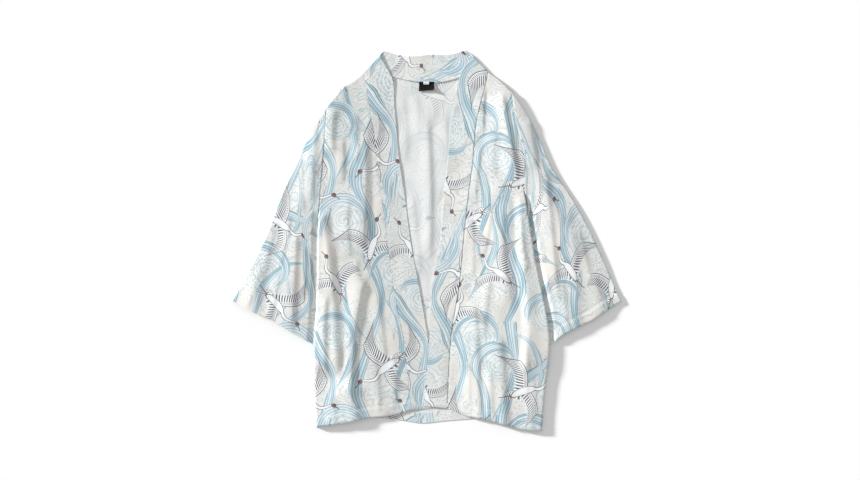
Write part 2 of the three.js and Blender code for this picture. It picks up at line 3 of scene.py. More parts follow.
import bpy
import numpy as np
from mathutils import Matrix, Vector


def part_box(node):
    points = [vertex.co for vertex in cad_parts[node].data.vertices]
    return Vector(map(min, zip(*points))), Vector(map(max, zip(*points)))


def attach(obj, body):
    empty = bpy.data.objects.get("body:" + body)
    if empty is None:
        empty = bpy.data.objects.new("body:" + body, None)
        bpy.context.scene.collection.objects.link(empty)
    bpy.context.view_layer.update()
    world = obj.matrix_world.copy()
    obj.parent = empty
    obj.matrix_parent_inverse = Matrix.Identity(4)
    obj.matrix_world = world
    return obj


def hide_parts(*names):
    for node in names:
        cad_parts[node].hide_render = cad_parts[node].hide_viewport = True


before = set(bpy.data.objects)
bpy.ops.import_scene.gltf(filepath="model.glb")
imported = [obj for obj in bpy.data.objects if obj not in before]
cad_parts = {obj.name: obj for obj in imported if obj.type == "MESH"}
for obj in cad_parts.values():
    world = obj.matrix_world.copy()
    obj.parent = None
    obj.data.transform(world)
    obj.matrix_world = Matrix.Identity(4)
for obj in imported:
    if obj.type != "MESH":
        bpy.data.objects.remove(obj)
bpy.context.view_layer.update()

# A printed kimono jacket laid flat on its back. Lengths below are millimetres, in the pattern's own
# origin, and become metres in the frame when a mesh is made. Left and right are the wearer's.

mm = 0.001

# ---- where the pattern's origin lies in the frame
labelPattern = {"x": 0, "top": 315, "width": 30, "height": 18}
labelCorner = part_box("neck_label")[0]
originShift = np.array([
    labelCorner.x / mm - (labelPattern["x"] - labelPattern["width"] / 2),
    labelCorner.y / mm - (labelPattern["top"] - labelPattern["height"]),
    0.0,
])

# ---- camera: straight down, the whole picture is 1.72 m wide
cameraView = {
    "pictureWidth": 1.72,
    "height": 4.0,
    "sensor": 36.0,
    "middle": (6.4, 1.7),
}


def addObject(name, data):
    thing = bpy.data.objects.new(name, data)
    bpy.context.scene.collection.objects.link(thing)
    return thing


def makeCamera():
    data = bpy.data.cameras.new("overhead")
    data.sensor_width = cameraView["sensor"]
    data.lens = cameraView["sensor"] * cameraView["height"] / cameraView["pictureWidth"]
    camera = addObject("overhead", data)
    x, y = cameraView["middle"]
    camera.location = ((x + originShift[0]) * mm, (y + originShift[1]) * mm, cameraView["height"])
    bpy.context.scene.camera = camera


makeCamera()
print("camera is set")

# ---- the jacket's outlines, as they lie
right = {
    "inward": 1,
    "shoulder": [(-128, 336), (-146, 322), (-164, 310), (-178, 297), (-200, 268)],
    "armhole": [(-200, 268), (-207, 180), (-216, 66)],
    "side": [(-216, 66), (-219, -38), (-220, -118), (-226, -208), (-225, -294), (-223, -372)],
    "frontHem": [
        (-30, -338), (-56, -346), (-84, -351), (-116, -354), (-156, -362), (-192, -368), (-223, -372),
    ],
    "sleeveTop": [
        (-200, 268), (-218, 242), (-242, 198), (-260, 155), (-286, 102),
        (-310, 38), (-333, -14), (-358, -65), (-389, -119),
    ],
    "cuff": [(-389, -119), (-358, -138), (-324, -152), (-296, -167), (-254, -193), (-194, -222)],
    "tuck": [(0, -0.6), (25, -1.2), (90, 8), (180, 20), (288, 32)],
    "bandSeam": [
        (-128, 336), (-123, 318), (-119, 298), (-114, 260), (-106, 220), (-100, 165),
        (-90, 80), (-79, 0), (-65, -100), (-45, -205), (-38, -275), (-30, -338),
    ],
    "bandFree": [
        (-95, 370, 8.5), (-80, 345, 7.0), (-68, 321, 5.4), (-65, 270, 4.0), (-61, 224, 3.8), (-56, 166, 3.8),
        (-43, 80, 3.6), (-33, -1, 3.8), (-14, -102, 4.0), (3, -207, 3.6), (9, -277, 3.6), (16, -334, 3.6),
    ],
    "collarCorner": (-86, 380),
}
left = {
    "inward": -1,
    "shoulder": [(122, 338), (135, 329), (153, 315), (169, 298)],
    "armhole": [(169, 298), (178, 238), (188, 202), (196, 160), (195, 100)],
    "side": [
        (195, 100), (203, 50), (218, -42), (236, -128), (245, -190), (243, -250), (237, -300), (230, -380),
    ],
    "frontHem": [
        (40, -334), (58, -342), (85, -351), (120, -357), (154, -367), (190, -376), (230, -380),
    ],
    "sleeveTop": [
        (169, 298), (188, 273), (206, 242), (228, 197), (248, 149),
        (283, 96), (314, 44), (341, -12), (368, -74), (389, -121),
    ],
    "cuff": [
        (389, -121), (354, -143), (329, -160), (303, -172), (270, -190), (252, -203), (212, -222),
    ],
    "tuck": [(0, -0.6), (25, -1.2), (110, 8), (210, 20), (322, 32)],
    "bandSeam": [
        (122, 338), (118, 320), (114, 302), (106, 272), (97, 228), (92, 165),
        (83, 95), (73, 5), (64, -90), (49, -180), (43, -260), (40, -334),
    ],
    "bandFree": [
        (95, 367, 8.5), (77, 351, 7.0), (65, 327, 5.4), (58, 284, 4.2), (48, 232, 3.8), (43, 166, 3.8),
        (35, 95, 3.6), (28, 2, 3.6), (11, -92, 5.0), (6, -181, 7.4), (0, -261, 8.2), (-6, -330, 8.2),
    ],
    "collarCorner": (80, 382),
}
backNeck = [
    (-128, 336), (-98, 333), (-66, 327), (-36, 320), (-6, 316),
    (20, 316), (44, 320), (64, 326), (94, 334), (122, 338),
]
collarTop = [(-86, 380), (-54, 371), (-26, 369), (6, 372), (44, 372), (62, 376), (80, 382)]
backHem = [
    (-223, -372), (-190, -364), (-150, -357), (-100, -354), (-54, -358), (-11, -364),
    (30, -360), (80, -356), (120, -354), (155, -362), (190, -372), (230, -380),
]

# ---- cloth and how its layers lie
layers = {
    "solidWall": 1.6,  # a layer's thickness in the rigid model, whose outer faces are kept
    "skin": 0.7,  # a layer's thickness here
    "lower": 0.8,  # middle of the rigid layer that lies on the floor
    "upper": 6.0,  # middle of the rigid layer that lies on top
    "lift": 4.1,  # the body's rise onto a tucked sleeve
    "tuckMargin": 10,  # the body stays lifted this far past the tucked sleeve
    "ramp": 20,  # and comes down over this
    "tuckEnd": (16, 52),  # the lift dies away between these distances past the cuff
    "edgeRound": 2.6,  # how far in from its edge the body's upper layer comes down
    "hem": 20,  # depth of the turned hems
    "edgeDrop": (1.1, 2.4),  # how far a hem's rounded edge falls, and from where
    "waves": 0.39,  # height of the low waves of the fronts and sleeves
    "innerWaves": 0.28,  # the same inside the back
    "gridStep": 3.0,
}
fronts = {
    "bandDip": 3.5,  # how much they sink towards the band, within bandReach
    "bandReach": 92,
    "sideDip": (1.0, 2.8),  # the same towards the right and left side seams, where they lie on a sleeve
    "sideReach": 46,
    "gridWidth": 190,  # sets how many columns they get
}
sleeves = {
    "pressed": 2.2,  # what is left of a sleeve's height under the body
    "press": (15, 2),  # a sleeve sinks between these distances outside the body's side
    "foldDip": {1: 2.3, -1: 3.0},  # how much the right and left one sink towards their outer fold
    "foldReach": 64,
    "underarmFan": 0.65,  # above 0 the rows are closer near the armpit
    "gridWidth": 215,
}
collarBand = {
    "thickness": 1.0,  # a doubled strip
    "solid": 2.6,  # the rigid band's thickness
    "width": 48,
    "drop": 2.4,  # above 1 it falls mostly beside its seam, and is level towards its free edge
    "settled": 1.35,  # underside of its free edge above the floor, where it lies lowest
    "overlap": 0.42,  # share that is kept of how much higher the rigid free edge runs
    "rigidFree": 3.6,  # the rigid free edge's height where it lies lowest
    "rigidRoll": 8.5,  # and at the top of the collar's roll
    "roll": (3.3, 0.22),  # the roll's height here at its top, and how fast it falls away
    "rollStart": (290, 345),  # the band turns into the roll between these places
    "neckSeam": 1.3,  # height of the seam's inner layers under it at the back neck
    "waves": 0.35,
    "columns": 17,
    "neckSteps": 84,  # along the back neck
}
foldShape = {
    "lean": (1.35, 0.85),  # folds are drawn out on their left and steep on their right
    "share": 0.80,  # of the rise given below
    "taper": 0.2,  # share of a fold's length over which each end dies away
}
waveSeeds = {"front": 11, "sleeve": 23, "back": 37, "band": 51}
outerFace = layers["solidWall"] / 2 - layers["skin"] / 2  # from a solid's middle to this cloth's middle

# Folds of the upper layer: start, middle and end of the crest, rise, then reach to its left and right
folds = [
    (-126, 222, -124, 102, -130, -30, 4.0, 19, 11),
    (-121, -60, -146, -188, -152, -345, 5.0, 18, 10),
    (-152, -270, -148, -345, -146, -430, 4.5, 30, 26),
    (-182, 270, -191, 225, -188, 165, 3.0, 14, 10),
    (146, 300, 162, 222, 182, 100, 4.0, 16, 9),
    (146, 82, 152, -38, 170, -138, 3.0, 17, 12),
    (140, -178, 150, -278, 156, -420, 3.5, 19, 13),
    (92, -118, 98, -218, 104, -400, 2.5, 16, 9),
    (232, 160, 247, 20, 262, -150, 3.1, 18, 10),
    (272, 92, 291, -38, 300, -210, 2.4, 20, 16),
    (-222, 232, -230, 152, -236, 62, 3.0, 14, 12),
    (-262, 22, -266, -68, -274, -200, 4.0, 17, 11),
    (-298, 50, -322, -30, -352, -170, 3.0, 18, 13),
]
smallFolds = [
    (114, 312, 112, 260, 110, 205, 1.8, 12, 5),
    (112, 190, 100, 140, 96, 60, 1.2, 9, 6),
    (128, 90, 122, 20, 108, -40, 1.3, 12, 6),
    (88, 60, 92, -20, 90, -80, 1.0, 9, 5),
    (186, 60, 190, -10, 206, -60, 1.6, 11, 7),
    (128, -60, 116, -140, 112, -210, 1.4, 12, 7),
    (186, -150, 196, -240, 196, -330, 1.8, 14, 9),
    (206, -260, 212, -320, 206, -400, 1.4, 10, 8),
    (76, -180, 82, -260, 84, -370, 1.2, 9, 6),
    (124, -250, 128, -310, 126, -380, 1.3, 9, 6),
    (-172, 210, -168, 160, -172, 110, 1.8, 12, 7),
    (-150, 260, -140, 200, -146, 150, 1.4, 11, 6),
    (-158, 90, -160, 20, -152, -40, 1.4, 12, 7),
    (-190, 20, -186, -50, -196, -120, 1.3, 13, 8),
    (-200, -100, -206, -180, -202, -280, 2.6, 9, 8),
    (-176, -120, -172, -200, -182, -280, 1.4, 12, 7),
    (-104, -90, -92, -170, -84, -250, 1.5, 11, 7),
    (-110, -210, -100, -280, -96, -350, 1.5, 12, 8),
    (-70, -220, -64, -280, -66, -350, 1.1, 10, 7),
    (-142, -30, -138, -70, -120, -100, 1.5, 12, 8),
    (-190, -300, -186, -340, -190, -390, 1.5, 12, 8),
    (-248, 170, -252, 110, -246, 50, 1.5, 11, 7),
    (-276, 60, -282, 0, -300, -60, 1.6, 13, 7),
    (-246, 0, -244, -60, -250, -130, 1.4, 11, 7),
    (-330, -50, -346, -90, -362, -140, 1.6, 13, 8),
    (-298, -60, -304, -110, -318, -170, 1.3, 12, 7),
    (204, 250, 210, 200, 222, 140, 1.8, 12, 6),
    (250, 100, 262, 40, 270, -30, 1.2, 9, 7),
    (300, 40, 312, -20, 330, -90, 1.6, 13, 8),
    (330, -60, 344, -110, 352, -160, 1.4, 12, 8),
    (268, -70, 274, -120, 282, -190, 1.4, 10, 7),
    (238, -60, 240, -120, 246, -190, 1.2, 9, 7),
    (140, 230, 132, 180, 136, 120, 1.2, 12, 8),
]
backFolds = [
    (-2, 262, 6, 110, 3, -60, 2.5, 13, 8),
    (-50, 290, -44, 220, -42, 140, 0.9, 12, 8),
    (34, 270, 40, 180, 34, 90, 1.0, 12, 7),
    (-30, 100, -22, 10, -12, -80, 0.9, 11, 7),
    (-24, 300, -20, 250, -20, 200, 0.7, 10, 7),
    (130, 150, 120, 20, 128, -120, 0.8, 16, 12),
    (-140, 160, -130, 0, -140, -160, 0.9, 16, 12),
]


# A centripetal curve through rows of points, with the length walked at each of its steps
def curveThrough(rows, steps=40):
    p = np.array(rows, float)
    p = np.vstack([2 * p[0] - p[1], p, 2 * p[-1] - p[-2]])
    parts = []
    t = np.linspace(0, 1, steps, endpoint=False)[:, None]
    for i in range(1, len(p) - 2):
        a, b, c, d = p[i - 1:i + 3]
        before, here, after = (np.linalg.norm(m - n) ** 0.5 for m, n in ((a, b), (b, c), (c, d)))
        slopeB = here * ((b - a) / before - (c - a) / (before + here) + (c - b) / here)
        slopeC = here * ((c - b) / here - (d - b) / (here + after) + (d - c) / after)
        bend = 3 * (c - b) - 2 * slopeB - slopeC
        parts.append(b + slopeB * t + bend * t ** 2 + (2 * (b - c) + slopeB + slopeC) * t ** 3)
    points = np.vstack(parts + [p[-2:-1]])
    walked = np.concatenate([[0], np.cumsum(np.linalg.norm(np.diff(points, axis=0), axis=1))])
    return {"points": points, "walked": walked, "length": walked[-1]}


def pointAt(curve, share):
    share = np.asarray(share, float)
    wanted = np.clip(share, 0, 1) * curve["length"]
    axes = [np.interp(wanted, curve["walked"], column) for column in curve["points"].T]
    return np.stack(axes, axis=-1)


def smooth(low, high, value):
    t = np.clip((np.asarray(value, float) - low) / (high - low), 0, 1)
    return t * t * (3 - 2 * t)


def mix(a, b, t):
    return a + (b - a) * t


def foldCrest(row, steps=18):
    x1, y1, x2, y2, x3, y3 = row[:6]
    t = np.linspace(0, 1, steps)[:, None]
    start, middle, end = (np.array(p, float) for p in ((x1, y1), (x2, y2), (x3, y3)))
    control = 2 * middle - (start + end) / 2
    return start * (1 - t) ** 2 + 2 * control * t * (1 - t) + end * t ** 2


# Distance to a crest, positive to the right of its way down, and the share of its length
def besideLine(line, x, y):
    best = np.full(x.shape, 1e9)
    side = np.zeros(x.shape)
    along = np.zeros(x.shape)
    for i in range(len(line) - 1):
        ax, ay = line[i]
        dx, dy = line[i + 1] - line[i]
        size = dx * dx + dy * dy
        t = np.clip(((x - ax) * dx + (y - ay) * dy) / size, 0, 1)
        gapX, gapY = x - ax - dx * t, y - ay - dy * t
        distance = np.hypot(gapX, gapY)
        closer = distance < best
        best = np.where(closer, distance, best)
        side = np.where(closer, np.sign(gapY * dx - gapX * dy), side)
        along = np.where(closer, (i + t) / (len(line) - 1), along)
    return best * side, along


def foldHeight(rows, x, y):
    total = np.zeros(x.shape)
    for row in rows:
        rise, reachLeft, reachRight = row[6:]
        crest = foldCrest(row)
        reach = 4 * max(reachLeft, reachRight)
        low, high = crest.min(0) - reach, crest.max(0) + reach
        near = (x > low[0]) & (x < high[0]) & (y > low[1]) & (y < high[1])
        if not near.any():
            continue
        across, along = besideLine(crest, x[near], y[near])
        leanLeft, leanRight = foldShape["lean"]
        reach = np.where(across < 0, reachLeft * leanLeft, reachRight * leanRight)
        fade = smooth(0, foldShape["taper"], along) * smooth(0, foldShape["taper"], 1 - along)
        total[near] += rise * fade * np.exp(-(across / reach) ** 2)
    return total * foldShape["share"]


# Low uneven waves, mostly along the cloth's length
def ripples(x, y, seed):
    rng = np.random.default_rng(seed)
    total = np.zeros(x.shape)
    for _ in range(9):
        wave = rng.uniform(26, 80)
        angle = rng.normal(0, 0.45)
        phase = rng.uniform(0, 2 * math.pi)
        swing = rng.uniform(0, 2 * math.pi)
        bent = x * math.cos(angle) + y * math.sin(angle) + 9 * np.sin(y / rng.uniform(50, 120) + swing)
        total += np.sin(bent * 2 * math.pi / wave + phase) * rng.uniform(0.5, 1) * wave / 60
    return total / 3


def tableOf(side):
    made = dict(side)
    for name in ("shoulder", "armhole", "side", "frontHem", "sleeveTop", "cuff", "bandSeam", "bandFree"):
        made[name] = curveThrough(side[name])
    made["armpitY"] = side["armhole"][-1][1]
    made["tuckBelow"], made["tuckUnder"] = np.array(side["tuck"], float).T
    made["whole"] = made["armhole"]["length"] + made["side"]["length"]
    return made


right = tableOf(right)
left = tableOf(left)
backNeckCurve = curveThrough(backNeck)
collarTopCurve = curveThrough(collarTop)
backHemCurve = curveThrough(backHem)


def outlineAt(side, distance):
    armholeLength = side["armhole"]["length"]
    onArmhole = pointAt(side["armhole"], distance / armholeLength)
    onSide = pointAt(side["side"], (distance - armholeLength) / side["side"]["length"])
    return np.where((distance < armholeLength)[..., None], onArmhole, onSide)


# Where a curve that runs down the jacket passes each y
def xAlong(curve, y):
    points = curve["points"]
    return np.interp(-y, -points[:, 1], points[:, 0])


# Distance inside the body's side, and below the armpit
def besideSeam(side, x, y):
    return (x - xAlong(side["side"], y)) * side["inward"], side["armpitY"] - y


# 1 where the body's side lies on its own sleeve
def onSleeve(side, below):
    past = below - side["tuckBelow"][-1]
    return smooth(2, 24, below) * (1 - smooth(*layers["tuckEnd"], past))


def bodyLift(x, y):
    lifts = []
    for side in (right, left):
        inside, below = besideSeam(side, x, y)
        strip = np.interp(below, side["tuckBelow"], side["tuckUnder"]) + layers["tuckMargin"]
        away = smooth(0, 1, (inside - strip) / layers["ramp"])
        lifts.append(layers["lift"] * onSleeve(side, below) * (1 - away))
    return np.where(x < 0, lifts[0], lifts[1])


def backHeight(x, y):
    return layers["lower"] + bodyLift(x, y) + foldHeight(backFolds, x, y)


# The fronts sink towards the band, which lies almost on the back
def bandDip(x, y):
    fromBand = [(xAlong(side["bandSeam"], y) - x) * side["inward"] for side in (right, left)]
    return fronts["bandDip"] * (1 - smooth(0, fronts["bandReach"], np.where(x < 0, *fromBand)))


def sideDip(x, y):
    dips = []
    for side, depth in zip((right, left), fronts["sideDip"]):
        inside, below = besideSeam(side, x, y)
        dips.append(depth * onSleeve(side, below) * (1 - smooth(0, fronts["sideReach"], inside)))
    return np.where(x < 0, *dips)


def frontHeight(x, y):
    low = layers["waves"] * ripples(x, y, waveSeeds["front"])
    sunk = bandDip(x, y) + sideDip(x, y)
    return layers["upper"] + bodyLift(x, y) + foldHeight(folds + smallFolds, x, y) + low - sunk


def foldDip(side, x, y):
    outward = -side["inward"]
    fold, armhole = (xAlong(side[key], y) for key in ("sleeveTop", "armhole"))
    fromFold, fromArmhole = (fold - x) * outward, (x - armhole) * outward
    depth = sleeves["foldDip"][side["inward"]]
    return depth * (1 - smooth(0, sleeves["foldReach"], fromFold)) * smooth(2, 46, fromArmhole)


def sleeveHeight(side, x, y):
    inside, below = besideSeam(side, x, y)
    start, end = sleeves["press"]
    pressed = onSleeve(side, below) * smooth(-start, -end, inside)
    low = layers["waves"] * ripples(x, y, waveSeeds["sleeve"])
    free = layers["upper"] + foldHeight(folds + smallFolds, x, y) + low - foldDip(side, x, y)
    return mix(free, sleeves["pressed"] + layers["lower"], pressed)


# Fills the space between four edges, at arrays of shares of its width and length
def patch(start, end, top, bottom, corners, u, v):
    u, v = u[..., None], v[..., None]
    topStart, topEnd, bottomStart, bottomEnd = (np.array(c, float) for c in corners)
    upper = mix(topStart, topEnd, u)
    lower = mix(bottomStart, bottomEnd, u)
    return mix(start, end, u) + mix(top, bottom, v) - mix(upper, lower, v)


bendAngles = np.radians([0, 15, 32, 50, 70, 90])  # steps of a round edge, from its rim to its top
hemRows = (2.0, 1.2, 0.5, 0.0)  # the last rows of a panel, from its hem


def bodyDistances(side, count):
    inset = layers["skin"] / 2
    bends = inset + layers["edgeRound"] * (1 - np.cos(bendAngles))
    rest = np.linspace(bends[-1], side["whole"], count)[1:]
    rest = np.concatenate([rest[:-1], side["whole"] - np.array(hemRows)])
    rounds = np.concatenate([np.sin(bendAngles), np.ones(len(rest))])
    return np.concatenate([bends, rest]), rounds


# A hem's folded edge is round, so it falls away at the very end
def edgeDrop(fromHem):
    fall, start = layers["edgeDrop"]
    return fall * (1 - smooth(0, start, fromHem))


# Relief of a turned hem: a ridge of double cloth that ends in the groove of its stitches
def hemRelief(fromHem, along):
    pucker = 0.12 * np.sin(along / 2.3) + 0.10 * np.sin(along / 3.9 + 1.0)
    hem = layers["hem"]
    ridge = 0.45 * smooth(hem + 1.5, hem - 2, fromHem)
    groove = (0.5 + pucker) * np.exp(-((fromHem - hem) / 1.8) ** 2)
    return ridge - groove + pucker * np.exp(-((fromHem - hem) / 9) ** 2)


# Cloth dips into a seam and puckers a little beside it
def seamRelief(fromSeam, along):
    pucker = 0.10 * np.sin(along / 2.7 + 0.7) + 0.10 * np.sin(along / 4.7)
    return -0.28 * np.exp(-(fromSeam / 2.5) ** 2) + pucker * np.exp(-(fromSeam / 8) ** 2)


def frontSurface(side):
    distances, rounds = bodyDistances(side, int(side["whole"] / layers["gridStep"]))
    columns = int(fronts["gridWidth"] / layers["gridStep"])
    share = distances / side["whole"]
    edge = outlineAt(side, distances)
    start = pointAt(side["bandSeam"], share)
    width = np.linalg.norm(edge - start, axis=1)[:, None]
    # 0 along the armhole, where it meets the sleeve, and 1 along the side, where it comes down to the back
    toBack = smooth(-4, 6, distances - side["armhole"]["length"])[:, None]
    bends = toBack * layers["skin"] / 2 + layers["edgeRound"] * (1 - np.cos(bendAngles[::-1]))
    bends = 1 - bends / width
    flat = bends[:, :1] * np.linspace(0, 1, columns, endpoint=False)
    u = np.concatenate([flat, bends], axis=1)
    bent = mix(1, np.sin(bendAngles[::-1])[None], toBack)
    across = np.concatenate([np.ones(flat.shape), bent], axis=1)
    v = np.repeat(share[:, None], u.shape[1], axis=1)
    shoulder, hem = side["shoulder"], side["frontHem"]
    corners = [curve["points"][end] for curve in (shoulder, hem) for end in (0, -1)]
    place = patch(start[:, None], edge[:, None], pointAt(shoulder, u), pointAt(hem, u), corners, u, v)
    x, y = place[..., 0], place[..., 1]
    fromHem, fromEdge = (1 - v) * side["whole"], (1 - u) * width
    height = frontHeight(x, y) + outerFace
    height += hemRelief(fromHem, x) * smooth(0, 6, fromEdge) - edgeDrop(fromHem)
    height += seamRelief(u * width, distances[:, None])
    height += (1 - toBack) * seamRelief(fromEdge, distances[:, None])
    rim = backHeight(x, y) + 0.5 * layers["skin"] + 0.15
    return np.dstack([x, y, mix(rim, height, across * rounds[:, None])]), fromHem


def backSurface():
    rightRows, _ = bodyDistances(right, int(right["whole"] / layers["gridStep"]))
    shares = rightRows / right["whole"]
    leftRows = shares * left["whole"]
    top = np.vstack([
        pointAt(right["shoulder"], 1 - np.linspace(0, 1, 24, endpoint=False)),
        pointAt(backNeckCurve, np.linspace(0, 1, collarBand["neckSteps"], endpoint=False)),
        pointAt(left["shoulder"], np.linspace(0, 1, 34)[::2]),
    ])
    width = top[-1, 0] - top[0, 0]
    u = np.repeat(((top[:, 0] - top[0, 0]) / width)[None], len(shares), axis=0)
    shares[0] = 0
    v = np.repeat(shares[:, None], u.shape[1], axis=1)
    start, end = outlineAt(right, rightRows), outlineAt(left, leftRows)
    start[0], end[0] = top[0], top[-1]
    corners = (top[0], top[-1], backHem[0], backHem[-1])
    place = patch(start[:, None], end[:, None], top[None], pointAt(backHemCurve, u), corners, u, v)
    x, y = place[..., 0], place[..., 1]
    z = backHeight(x, y) - outerFace
    fromHem = (1 - v) * right["whole"]
    z += np.maximum(hemRelief(fromHem, x), 0)
    inner = layers["innerWaves"] * (1 + ripples(x, y, waveSeeds["back"]))
    inner = inner * smooth(4, 30, fromHem) * smooth(0, 20, v * right["whole"])
    z += np.maximum(inner, 0) * smooth(0, 12, np.minimum(x - start[:, :1], end[:, :1] - x))
    return np.dstack([x, y, z]), fromHem


# A flattened tube: its upper side from the outer fold to the underarm, then its underside back again
def sleeveSurface(side):
    inset = layers["skin"] / 2
    columns = int(sleeves["gridWidth"] / layers["gridStep"])
    long = side["sleeveTop"]["length"]
    along = np.linspace(0, 1, int(long / layers["gridStep"]))
    along = np.concatenate([along[:-1], 1 - np.array(hemRows) / long])
    apart = np.array([-side["inward"] * 0.1, 0.0])  # a hair's gap to the body
    underY = side["armpitY"] - side["tuckBelow"]
    underX = xAlong(side["side"], underY) + side["inward"] * side["tuckUnder"]
    underarm = curveThrough(np.column_stack([underX, underY]))
    fan = sleeves["underarmFan"]
    start = pointAt(side["sleeveTop"], along)
    end = pointAt(underarm, fan * along ** 2 + (1 - fan) * along)
    start[0] = pointAt(side["armhole"], 0) + apart
    end[0] = side["side"]["points"][0] + apart
    width = np.linalg.norm(end - start, axis=1)[:, None]
    corners = (start[0], end[0], side["cuff"]["points"][0], side["cuff"]["points"][-1])

    def placeAt(distance):
        share = distance / width
        v = np.repeat(along[:, None], share.shape[1], axis=1)
        top = pointAt(side["armhole"], share) + apart
        return patch(start[:, None], end[:, None], top, pointAt(side["cuff"], share), corners, share, v)

    # Half of the tube's height at a distance from its fold
    def radiusAt(distance):
        place = placeAt(distance)
        return (sleeveHeight(side, place[..., 0], place[..., 1]) + outerFace - inset) / 2

    startRadius = radiusAt(np.full((len(along), 1), 6.0))
    endRadius = radiusAt(width - 3.2)
    first = inset + startRadius
    last = width - inset - endRadius
    bend = 1 - np.cos(bendAngles)
    distance = np.concatenate([
        inset + startRadius * bend,
        mix(first, last, np.linspace(0, 1, columns)[None, 1:-1]),
        width - inset - endRadius * bend[::-1],
    ], axis=1)
    rise = np.concatenate([np.sin(bendAngles), np.ones(columns - 2), np.sin(bendAngles[::-1])])
    place = placeAt(distance)
    radius = radiusAt(np.clip(distance, first, last))
    fromCuff = (1 - along[:, None]) * long
    relief = hemRelief(fromCuff, distance) + seamRelief(along[:, None] * long, distance) - edgeDrop(fromCuff)
    inside, deep = besideSeam(side, place[..., 0], place[..., 1])
    relief = relief * rise * (1 - onSleeve(side, deep) * smooth(-20, -4, inside))
    upper = np.dstack([place, inset + radius * (1 + rise) + relief])
    lower = np.dstack([place, inset + radius * (1 - rise)])[:, 1:-1][:, ::-1]
    ring = np.concatenate([upper, lower], axis=1)
    flatAcross = np.concatenate([distance, (2 * width - distance)[:, 1:-1][:, ::-1]], axis=1)
    return ring, np.dstack([flatAcross, np.repeat(fromCuff, ring.shape[1], axis=1)])


def bandSurface():
    step = layers["gridStep"]
    skin = collarBand["thickness"]
    raised = (collarBand["solid"] - skin) / 2
    onNeckSeam = skin / 2 + collarBand["neckSeam"]
    seamRows, freeRows = [], []

    # The collar's roll is lower than the rigid one
    def rolled(height):
        top, share = collarBand["roll"]
        return top + (height - collarBand["rigidRoll"]) * share

    def onFront(side):
        distances = np.linspace(4, side["whole"], int(side["whole"] / step))
        share = distances / side["whole"]
        seam = pointAt(side["bandSeam"], share)
        seamZ = frontHeight(seam[:, 0], seam[:, 1]) + raised
        curve = side["bandSeam"]
        index = np.interp(share * curve["length"], curve["walked"], np.arange(len(curve["walked"])))
        free = side["bandFree"]["points"]
        steps = np.arange(len(free))
        freePoints = np.stack([np.interp(index, steps, free[:, k]) for k in range(3)], axis=1)
        height = freePoints[:, 2]
        higher = height - collarBand["rigidFree"]
        settled = collarBand["settled"] + skin / 2 + higher * collarBand["overlap"]
        freePoints[:, 2] = mix(settled, rolled(height), smooth(*collarBand["rollStart"], freePoints[:, 1]))
        return np.column_stack([seam, seamZ]), freePoints

    # Half a turn, where the band goes round from the front's face to the neck's inner side
    def turning(side):
        neckPoint = side["shoulder"]["points"][0]
        above = side["bandFree"]["points"][0]
        below = np.array(side["collarCorner"], float)
        run = above[:2] - neckPoint
        outward = -side["inward"] * np.array([run[1], -run[0]]) / np.linalg.norm(run)
        seams, frees = [], []
        for degrees in np.linspace(90, -90, 17):
            angle = math.radians(degrees)
            ends = (
                (neckPoint, layers["upper"] - fronts["bandDip"] + raised, onNeckSeam, seams),
                (mix(above[:2], below, (90 - degrees) / 180), rolled(above[2]), skin / 2, frees),
            )
            for base, high, low, rows in ends:
                radius = (high - low) / 2
                inset = skin / 2 + radius * (1 - math.cos(angle))
                rows.append([*(base - outward * inset), low + radius * (1 + math.sin(angle))])
        return np.array(seams), np.array(frees)

    count = collarBand["neckSteps"]
    share = np.linspace(0, 1, count + 2)[1:-1]
    neckSeam = np.column_stack([pointAt(backNeckCurve, share), np.full(count, onNeckSeam)])
    neckFree = np.column_stack([pointAt(collarTopCurve, share), np.full(count, skin / 2)])
    # from the right front's hem, round the neck, to the left front's hem
    stretches = [
        (onFront(right), True),
        (turning(right), False),
        ((neckSeam, neckFree), False),
        (turning(left), True),
        (onFront(left), False),
    ]
    for rows, flip in stretches:
        for target, points in zip((seamRows, freeRows), rows):
            target.append(points[::-1] if flip else points)
    seam, free = np.vstack(seamRows), np.vstack(freeRows)
    for _ in range(3):  # evens out the joins between the band's stretches
        for line in (seam, free):
            line[1:-1] = 0.25 * line[:-2] + 0.5 * line[1:-1] + 0.25 * line[2:]
    run = free[:, :2] - seam[:, :2]
    run /= np.linalg.norm(run, axis=1)[:, None]
    start = seam.copy()
    start[:, :2] += run * 0.35  # clear of the seam's own line
    walked = np.concatenate([[0], np.cumsum(np.linalg.norm(np.diff(seam, axis=0), axis=1))])
    u = np.linspace(0, 1, collarBand["columns"])
    grid = mix(start[:, None], free[:, None], u[None, :, None])
    drop = 1 - (1 - u) ** collarBand["drop"]
    grid[..., 2] = mix(start[:, None, 2], free[:, None, 2], drop[None])
    wave = ripples(grid[..., 0], grid[..., 1], waveSeeds["band"]) * collarBand["waves"] * smooth(0, 0.4, u)
    onNeck = (walked > walked[len(seamRows[0])]) & (walked < walked[-len(seamRows[-1])])
    grid[..., 2] += np.where(onNeck[:, None], 0, wave)
    grid[..., 2] += seamRelief(u[None] * collarBand["width"], walked[:, None]) * 0.6
    grid[..., 2] -= edgeDrop(np.minimum(walked, walked[-1] - walked))[:, None] * 0.7
    return grid, walked


print("outlines and folds are ready")


def normalsOf(grid, ring):
    if ring:
        acrossStep = np.roll(grid, -1, axis=1) - np.roll(grid, 1, axis=1)
    else:
        acrossStep = np.gradient(grid, axis=1)
    normal = np.cross(acrossStep, np.gradient(grid, axis=0))
    return normal / np.maximum(np.linalg.norm(normal, axis=2, keepdims=True), 1e-9)


